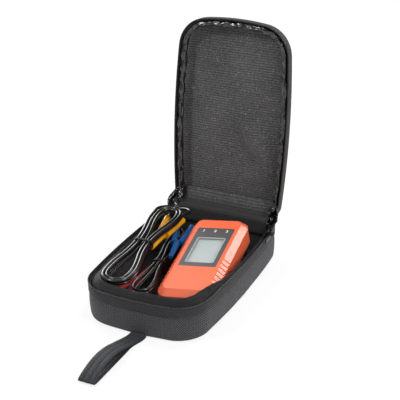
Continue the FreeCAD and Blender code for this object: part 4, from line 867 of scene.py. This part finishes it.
def hinge_strip(name, path, half, thick, material, slot, start, end, *replaced):
    """A strip of cloth along X that follows a path of Y and Z in millimetres."""
    middle = [Vector((0, y, z)) for y, z in path]
    outer, inner = [], []
    for number, point in enumerate(middle):
        ahead = heading(middle, number)
        side = Vector((0, -ahead.z, ahead.y)) * thick / 2
        outer.append(point + side)
        inner.append(point - side)
    places = [half * (2 * step / STRIP_STEPS - 1) for step in range(STRIP_STEPS + 1)]
    grid = [[Vector((x, point.y, point.z)) * MM for x in places] for point in outer + inner[::-1]]
    ruffle(grid, 0.35 * MM, 16 * MM, 8)
    item = tube(name, grid, material)
    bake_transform(item)
    if replaced:
        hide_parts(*replaced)


OUTER_STRIP = [
    (119.3, 33), (119.3, 36), (119.3, 39), (119.3, 42), (119.4, 44), (119.9, 45.4), (121.2, 46), (123, 46),
    (126, 45.6), (129, 45.2), (132.4, 44.8),
]
hinge_strip(
    "hinge_cloth", OUTER_STRIP, 52, 0.8, case_nylon, "case_fabric", (0, 0.1193, 0.042), (0, 0.123, 0.046),
    "hinge_fold", "hinge_strip_base", "hinge_strip_lid",
)
INNER_STRIP = [
    (112.4, 26), (112.6, 32), (112.6, 37), (112, 40.6), (111, 43.2), (110.8, 45.2), (111.8, 46.8),
    (114.6, 47.4), (118.4, 47.6), (122, 48.6), (125, 50.6), (127.6, 52.8), (130, 55.4), (132.2, 58.2),
    (134, 61.2), (135.2, 64.5),
]
hinge_strip(
    "hinge_lining", INNER_STRIP, 62, 1.2, fold_pile, "case_lining", (0, 0.1135, 0.043), (0, 0.1250, 0.0515),
)

# %% [markdown]
# At each rear corner the open lid leaves a three-cornered gap. A gusset of the binding film fills it, sewn
# to both rims, and it stands out in crumples because nothing stretches it. It could be a simulated cloth,
# but a web of straight lines from rim to rim, pushed out by noise, gives the same folds at each run.

# %% Gussets at the hinge corners
GUSSET_FIRST = 11  # plan points between which it is sewn on, from the rear to the side
GUSSET_LAST = 25
GUSSET_ROWS = 9
GUSSET_INSET = 2.2 * MM
GUSSET_LOW = 3.4 * MM  # how far below the rim it is sewn on
GUSSET_HALF_THICK = 0.6 * MM
CRUMPLE_GRAIN = 5 * MM
CRUMPLE_DEPTH = 2.6 * MM
CRUMPLE_REACH = 20 * MM  # from rim to rim, as the noise counts it


def gusset(name, points, bulge, seed):
    """A crumpled web from the base's rim to the lid's rim, with a front and a back."""
    outer, inner = [], []
    for number in range(GUSSET_ROWS):
        share = number / (GUSSET_ROWS - 1)
        near, far = [], []
        for point, normal in points:
            edge = point - normal * GUSSET_INSET
            low = Vector((edge.x, edge.y, PARTING - GUSSET_LOW))
            high = LID_TURN @ Vector((edge.x * LID_DRAW, edge.y, PARTING + GUSSET_LOW))
            middle = low.lerp(high, share)
            out = Vector((normal.x, normal.y, 0))
            crumple = noise.noise(Vector((point.x, point.y, share * CRUMPLE_REACH + seed)) / CRUMPLE_GRAIN)
            stand = math.sin(math.pi * share) * (bulge * (high - low).length + crumple * CRUMPLE_DEPTH)
            near.append(middle + out * (stand + GUSSET_HALF_THICK))
            far.append(middle + out * (stand - GUSSET_HALF_THICK))
        outer.append(near)
        inner.append(far)
    item = tube(name, outer + inner[::-1], binding_film)
    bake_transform(item)


gusset("hinge_gusset_right", PLAN[GUSSET_FIRST:GUSSET_LAST + 1], 0.12, 1)
gusset("hinge_gusset_left", PLAN[-GUSSET_LAST:1 - GUSSET_FIRST], 0.2, 2)

# %% [markdown]
# The wrist strap is a loop of flat webbing, sewn under the front edge. A curve with a bevel could make it,
# but its width would follow the curve's own twist. So its section, a flat band with two grooves along it,
# is carried along the loop's line. It lies with a bend to one side near its root, and its upper layer
# stands off the lower one in a bow.

# %% Wrist strap
STRAP_LINE = [
    (-126, 2.5), (-134, 2.5), (-142, 2.6), (-150, 3.4), (-160, 6), (-174, 10), (-190, 12.4), (-206, 12),
    (-220, 9.2), (-229, 6.4), (-233.6, 3.8), (-231, 1.5), (-222, 1), (-206, 1), (-190, 1), (-172, 1),
    (-156, 1), (-142, 1), (-134, 0.95), (-126, 0.95),
]
STRAP_HALF = 10.0
STRAP_THICK = 1.4
STRAP_BEND = 5.0
BEND_START = -154
BEND_RISE = 24
STRAP_STEPS = 6
STRAP_TOP = [
    (-1, 0.3), (-0.96, 0.9), (-0.44, 1), (-0.36, 0.3), (-0.28, 1), (0.28, 1), (0.36, 0.3), (0.44, 1),
    (0.96, 0.9), (1, 0.3),
]  # half-width, and share of the thickness, over the upper side of the section


def smooth_line(points, steps):
    """Points of a Catmull-Rom line through the given ones."""
    made = []
    for number in range(len(points) - 1):
        before = points[max(number - 1, 0)]
        start, end = points[number], points[number + 1]
        after = points[min(number + 2, len(points) - 1)]
        for step in range(steps):
            t = step / steps
            made.append(
                0.5 * (2 * start + (end - before) * t + (2 * before - 5 * start + 4 * end - after) * t ** 2
                       + (3 * start - before - 3 * end + after) * t ** 3)
            )
    return made + [points[-1]]


def wrist_strap():
    """The webbing's section carried along the loop's line."""
    line = smooth_line([Vector((0, y, z)) for y, z in STRAP_LINE], STRAP_STEPS)
    grid = []
    for x, share in STRAP_TOP + [(x, -share) for x, share in reversed(STRAP_TOP)]:
        row = []
        for number, point in enumerate(line):
            ahead = heading(line, number)
            up = Vector((0, ahead.z, -ahead.y)) * share * STRAP_THICK / 2
            aside = STRAP_BEND * ease((point.y - BEND_START) / BEND_RISE)
            row.append((Vector((x * STRAP_HALF + aside, point.y, point.z)) + up) * MM)
        grid.append(row)
    item = tube("strap_webbing", grid, strap_nylon)
    dressed(item, "strap", "strap_webbing", "wrist_strap")


wrist_strap()

# %% [markdown]
# The leads are soft PVC cable. Each is one unbroken line from its clip, through its hank, to its plug. It
# could be a mesh tube, but a NURBS curve with a round bevel keeps its thickness in every bend. The hank's
# turns come from a loop, and the free ends repeat the chosen points. A route lists the straight run out of
# the hank, the points between, and the straight run into its target.

# %% Leads
CABLE = 3.8 * MM
STEP = 4.5  # from one turn of a hank to the next, in millimetres as all that follows
TURN_CORNERS = [math.radians(degrees) for degrees in (22.5, 67.5, 112.5, 157.5)]
CORNER_OUT = 1 / math.cos(TURN_CORNERS[0])
CLIP_HANDLE = 44.0  # from a clip's pivot back to the end of its handle
CLIP_SPREAD = 9.8  # from the clip's middle out to that end
CLIP_ROOT = 4.45  # from the clip's middle out to the handle's root
CLIP_BALL = 4.5  # radius of the handle's round end
CLIP_FLAT = 0.5  # how far inside the round end the cable starts


def clip_entry(pivot, ahead, up):
    """Where a clip's cable enters it, and which way it comes out."""
    x = Vector(ahead).normalized()
    y = (Vector((0, 0, up)) - x * up * x.z).normalized().cross(x)
    end = -x * CLIP_HANDLE + y * CLIP_SPREAD
    back = (end - y * CLIP_ROOT).normalized()
    return Vector(pivot) + end + back * (CLIP_BALL - CLIP_FLAT), back


# %% Hanks
class Hank:
    """Loops of cable drawn in at the waist, spiralling in and out over two or four layers."""

    def __init__(self, centre, along, half_run, outer, strands, turns_in, layers, step=STEP, waist=STEP / 2):
        self.centre = Vector(centre)
        self.u = Vector(along).normalized()
        self.w = (Vector((0, 0, 1)) - self.u * self.u.z).normalized()
        self.v = self.w.cross(self.u)
        self.half_run, self.outer, self.strands, self.turns_in = half_run, outer, strands, turns_in
        self.layers, self.step, self.waist = layers, step, waist
        self.climbs = [turns_in * level for level in range(1, layers)]

    def steps_out(self, strand):
        """How many turns a strand lies outside the innermost one."""
        if self.layers == 2:
            return abs(strand - self.turns_in)
        return abs(self.turns_in - strand % (2 * self.turns_in))

    def strand(self, number):
        """Start, waist, end and direction of one strand."""
        side = 1 if number % 2 == 0 else -1
        out = self.steps_out(number)
        spread = self.outer - (self.turns_in - out) * self.step / 2
        waist = self.waist + (out // 2) * self.step
        low = sum(1 for climb in self.climbs if climb < number) * self.step
        high = low + (self.step if number in self.climbs else 0)

        def at(u, v, w):
            return self.centre + self.u * u + self.v * v + self.w * w

        start = at(-side * self.half_run, side * spread, low)
        end = at(side * self.half_run, side * spread, high)
        return start, at(0, side * waist, (low + high) / 2), end, self.u * side

    def points(self):
        """Control points of the hank: four for each strand, and half an octagon for the turn after it."""
        made = []
        lead_in = self.half_run / 4
        for number in range(self.strands):
            start, middle, end, ahead = self.strand(number)
            if number == 0:
                made.append(start)
            run = ahead * lead_in
            made += [start + run, middle - run, middle + run, end - run]
            if number + 1 < self.strands:
                across = (self.strand(number + 1)[0] - end) / 2
                reach = ahead * across.length
                for turn in TURN_CORNERS:
                    corner = reach * math.sin(turn) - across * math.cos(turn)
                    made.append(end + across + corner * CORNER_OUT)
            else:
                made.append(end)
        return made

    def ends(self):
        """Both ends of the hank, each with the way in which its free end leaves."""
        start, _, _, ahead = self.strand(0)
        _, _, end, onward = self.strand(self.strands - 1)
        return [(start, -ahead), (end, onward)]


# %% One lead from clip to plug
def free_end(leaving, route, arriving):
    """Chosen points from a hank to a plug or clip, with a square run at both ends."""
    start, outward = leaving
    target, inward = arriving
    run_out, points, run_in = route
    return [start + outward * run_out] + [Vector(p) for p in points] + [target - inward * run_in, target]


def lead(colour, length, hank, clip_pose, clip_route, plug_pose, plug_route, clip_last=False):
    """One test lead, a single curve from clip to plug. The clip may be on the hank's last strand."""
    entry, back = clip_entry(*clip_pose)
    wound = hank.points()
    ends = hank.ends()
    if clip_last:
        wound.reverse()
        ends.reverse()
    to_clip = free_end(ends[0], clip_route, (entry, -back))
    to_plug = free_end(ends[1], plug_route, [Vector(each) for each in plug_pose])
    points = to_clip[::-1] + wound + to_plug
    data = bpy.data.curves.new("lead_" + colour, "CURVE")
    data.dimensions = "3D"
    spline = data.splines.new("NURBS")
    spline.points.add(len(points) - 1)
    for knot, point in zip(spline.points, points):
        knot.co = (*(point * MM), 1.0)
    spline.order_u = 3
    spline.use_endpoint_u = True
    spline.resolution_u = 8
    data.bevel_depth = CABLE / 2
    data.bevel_resolution = 5
    data.use_fill_caps = True
    data.materials.append(cable_pvc)
    item = put("lead_" + colour, data)
    replaced = [part + colour for part in ("lead_hank_", "lead_clip_end_", "lead_plug_end_")]
    dressed(item, "base", "cable_pvc", *replaced)
    print("lead", colour, "is", length, "m long, through", len(points), "points")


# %% The three leads
lead(
    "yellow",
    1.66,
    Hank((-46, -13, 50.2), (0.075, -0.99, -0.05), half_run=74, outer=16.5, strands=8, turns_in=3, layers=2),
    ((-43, 28, 45.5), (0.12, -0.99, 0), -1),
    (11, [(-32, 85, 53.6), (-39, 93.5, 52), (-50, 97.5, 49), (-59.5, 95, 46.5)], 10),
    ((-42.5, 105, 9.4), (1, 0, 0)),
    (11, [(-65, 83, 56), (-64, 93, 52), (-61.8, 100.5, 45), (-60.8, 104.3, 35), (-60.2, 105.5, 24),
          (-57.5, 105.3, 14.5)], 8),
)
lead(
    "red",
    1.47,
    Hank((-26, -10, 16.1), (-0.12, 0.99, 0), half_run=60, outer=11.5, strands=9, turns_in=2, layers=4),
    ((-46, -36, 12.9), (0, 1, 0), 1),
    (10, [(-29.2, -91, 16.3), (-34.5, -101, 15.9), (-44.5, -106, 14.9), (-54, -103.6, 13.7)], 8),
    ((-30, 56, 9.4), (0, -1, 0)),
    (10, [(-46.8, 68, 29.8), (-47.4, 76.5, 28.4), (-42.5, 83.5, 22.5), (-35.3, 83.5, 14.5),
          (-30.7, 76, 10)], 10),
)
lead(
    "blue",
    1.38,
    Hank(
        (25, 46, 8), (0.073, -0.997, 0), half_run=24, outer=25, strands=12, turns_in=5, layers=2,
        step=4.9, waist=9,
    ),
    ((-24.5, 30.3, 36.1), (0.25, -0.968, 0), 1),
    (10, [(-5.8, 87, 13.4), (-8.6, 95.4, 16), (-15.3, 99.6, 21.8), (-22.6, 99.3, 30)], 9.5),
    ((64.9, 71.8, 9.5), (0, -1, 0)),
    (9.4, [(52.9, 87.6, 8.4), (59.4, 87.6, 8.9)], 9.3),
    clip_last=True,
)

# %% [markdown]
# The tester's own frame has its socket end at Y = 0 and its back at Z = 0. The light bezel round the
# display, the thin ribs of the grip and the printed numbers are built there and then laid on the tilted
# housing. They could be CAD parts, but they are too thin to matter for how things fit.

# %% Bezel of the display
METER_ORIGIN = Vector((17.5, 85.0, 27.92)) * MM
METER_TURNS = ((7.4, "Z"), (7.6, "X"), (-6.0, "Y"))
METER_PLACE = Matrix.Translation(METER_ORIGIN)
for degrees, axis in METER_TURNS:
    METER_PLACE = METER_PLACE @ Matrix.Rotation(math.radians(degrees), 4, axis)
PANEL_TOP = 29.4
DISPLAY_WIDE = 34
DISPLAY_START = 46.2
DISPLAY_LONG = 50.4
DISPLAY_CORNER = 1.2
CORNER_STEPS = 6
BEZEL = [(1.3, 0.02), (1.3, 0.3), (1.0, 0.5), (0.2, 0.4), (-0.5, -0.4), (-0.5, -0.6), (0.6, -0.05)]


def display_outline(grow, height):
    """Points round the display, grown on all sides, on the housing where it lies."""
    corner = DISPLAY_CORNER + max(grow, 0)
    right = DISPLAY_WIDE / 2 + grow - corner
    rear = grow - DISPLAY_START - corner
    front = corner - DISPLAY_START - DISPLAY_LONG - grow
    made = []
    for x, y, first in ((right, rear, 0), (-right, rear, 90), (-right, front, 180), (right, front, 270)):
        for step in range(CORNER_STEPS + 1):
            turn = math.radians(first + 90 * step / CORNER_STEPS)
            point = Vector((x + corner * math.cos(turn), y + corner * math.sin(turn), height))
            made.append(METER_PLACE @ (point * MM))
    return made


def display_bezel():
    """A light frame with a sloping inner face round the display."""
    rows = [display_outline(grow, PANEL_TOP + height) for grow, height in BEZEL]
    item = skin("display_bezel", rows, bezel_plastic, around_closed=True, smooth=False)
    dressed(item, "tester", "display_frame")


display_bezel()

# %% Ribs of the grip
RIDGE_LINE = [
    (27.2, 29.3), (28.8, 29.2), (31, 27), (33.4, 24.6), (35.2, 22.6), (35.4, 20), (35.4, 16), (35.3, 12),
]
RIDGE_RADIUS = 0.85
RIDGE_SIDES = 8
RIDGE_STEPS = 3
RIDGE_COUNT = 8
RIDGE_PITCH = 8
RIDGE_START = -88
RIDGE_PLACES = [RIDGE_START - RIDGE_PITCH * number for number in range(RIDGE_COUNT)]


def grip_ridge(side, y):
    """A thin rib over one long edge of the housing, as a tube."""
    line = smooth_line([Vector((side * x, y, z)) for x, z in RIDGE_LINE], RIDGE_STEPS)
    rows = []
    for turn in turns(RIDGE_SIDES):
        row = []
        for number, point in enumerate(line):
            out = Vector((0, 1, 0)).cross(heading(line, number))
            offset = Vector((0, math.cos(turn), 0)) + out * math.sin(turn)
            row.append(METER_PLACE @ ((point + offset * RIDGE_RADIUS) * MM))
        rows.append(row)
    return rows


def grip_ridges():
    """The ribs of both long edges as one piece."""
    grids = [grip_ridge(side, y) for side in (-1, 1) for y in RIDGE_PLACES]
    item = tube("grip_ridges", grids[0], housing_abs, more=grids[1:])
    dressed(item, "tester", "housing")


grip_ridges()

# %% Numbers over the inputs
MARK_SIZE = 6.6 * MM
MARK_WEIGHT = 0.12 * MM
MARK_THICK = 0.05
MARK_Y = -32.5


def printed_number(text, x):
    """A plain number over each input."""
    data = bpy.data.curves.new("mark_" + text, "FONT")
    data.body = text
    data.size = MARK_SIZE
    data.offset = MARK_WEIGHT
    data.extrude = MARK_THICK * MM
    data.align_x = "CENTER"
    data.materials.append(mark_white)
    item = put("mark_" + text, data)
    item.matrix_world = METER_PLACE @ Matrix.Translation(Vector((x, MARK_Y, PANEL_TOP + MARK_THICK)) * MM)
    dressed(item, "tester", "display_frame")


for text, x in (("1", -15), ("2", 0), ("3", 15)):
    printed_number(text, x)

# %% [markdown]
# The scene is a white floor, a soft key from the upper left, a fill from the right and one from above. Two
# lamps stand behind, low enough to draw highlights on the cables, the film and the tester's edge. Stronger
# lamps could make the floor white, but would bleach the object. So the floor glows only for the rays that
# show it, and it still takes the object's shadow.

# %% Floor and light
FLOOR_SIZE = 12
GLOW_SHARE = 0.82
SKY_STRENGTH = 0.4
LIT_POINT = Vector((0, 0, 0.06))
LAMPS = [
    ("key", (-0.75, -0.75, 1.35), 0.35, 11),
    ("side", (1.15, -0.3, 0.85), 0.6, 9),
    ("top", (0.15, 0.35, 1.5), 0.4, 6),
    ("back_left", (-1.2, 0.8, 0.52), 0.9, 14),
    ("back_right", (0.5, 1.1, 0.66), 0.45, 5.5),
]  # name, place and width in metres, and power in watts


def studio_paper():
    """White paper. Rays that show it to the eye see most of it as plain white, and some of its shadow."""
    material, tree, shader = start_material("studio_paper", "#f6f6f6", 0.9)
    rays = add(tree, "ShaderNodeLightPath").outputs
    seen = rays["Is Camera Ray"]
    for kind in ("Is Glossy Ray", "Is Transmission Ray"):
        seen = add(tree, "ShaderNodeMath", None, {0: seen, 1: rays[kind]}, operation="MAXIMUM").outputs[0]
    share = add(tree, "ShaderNodeMapRange", {4: GLOW_SHARE}, {0: seen}).outputs[0]
    glow = add(tree, "ShaderNodeEmission", {"Color": (1, 1, 1, 1), "Strength": 1.0}).outputs[0]
    both = add(tree, "ShaderNodeMixShader", None, {0: share, 1: shader.outputs[0], 2: glow}).outputs[0]
    tree.links.new(both, tree.nodes["Material Output"].inputs["Surface"])
    return material


def area_light(name, place, size, power):
    """A round soft lamp that looks at the case."""
    data = bpy.data.lights.new(name, "AREA")
    data.shape = "DISK"
    data.size = size
    data.energy = power
    item = put(name, data)
    item.location = place
    item.rotation_euler = (LIT_POINT - Vector(place)).to_track_quat("-Z", "Y").to_euler()


# %% Set the scene
bpy.ops.mesh.primitive_plane_add(size=FLOOR_SIZE, location=(0, 0, 0))
floor = bpy.context.object
floor.name = "floor"
floor.data.materials.append(studio_paper())
world = bpy.data.worlds.new("studio")
bpy.context.scene.world = world
world.use_nodes = True
sky = world.node_tree.nodes["Background"]
sky.inputs["Color"].default_value = (1, 1, 1, 1)
sky.inputs["Strength"].default_value = SKY_STRENGTH
for lamp in LAMPS:
    area_light(*lamp)
print("lamps", len(LAMPS))
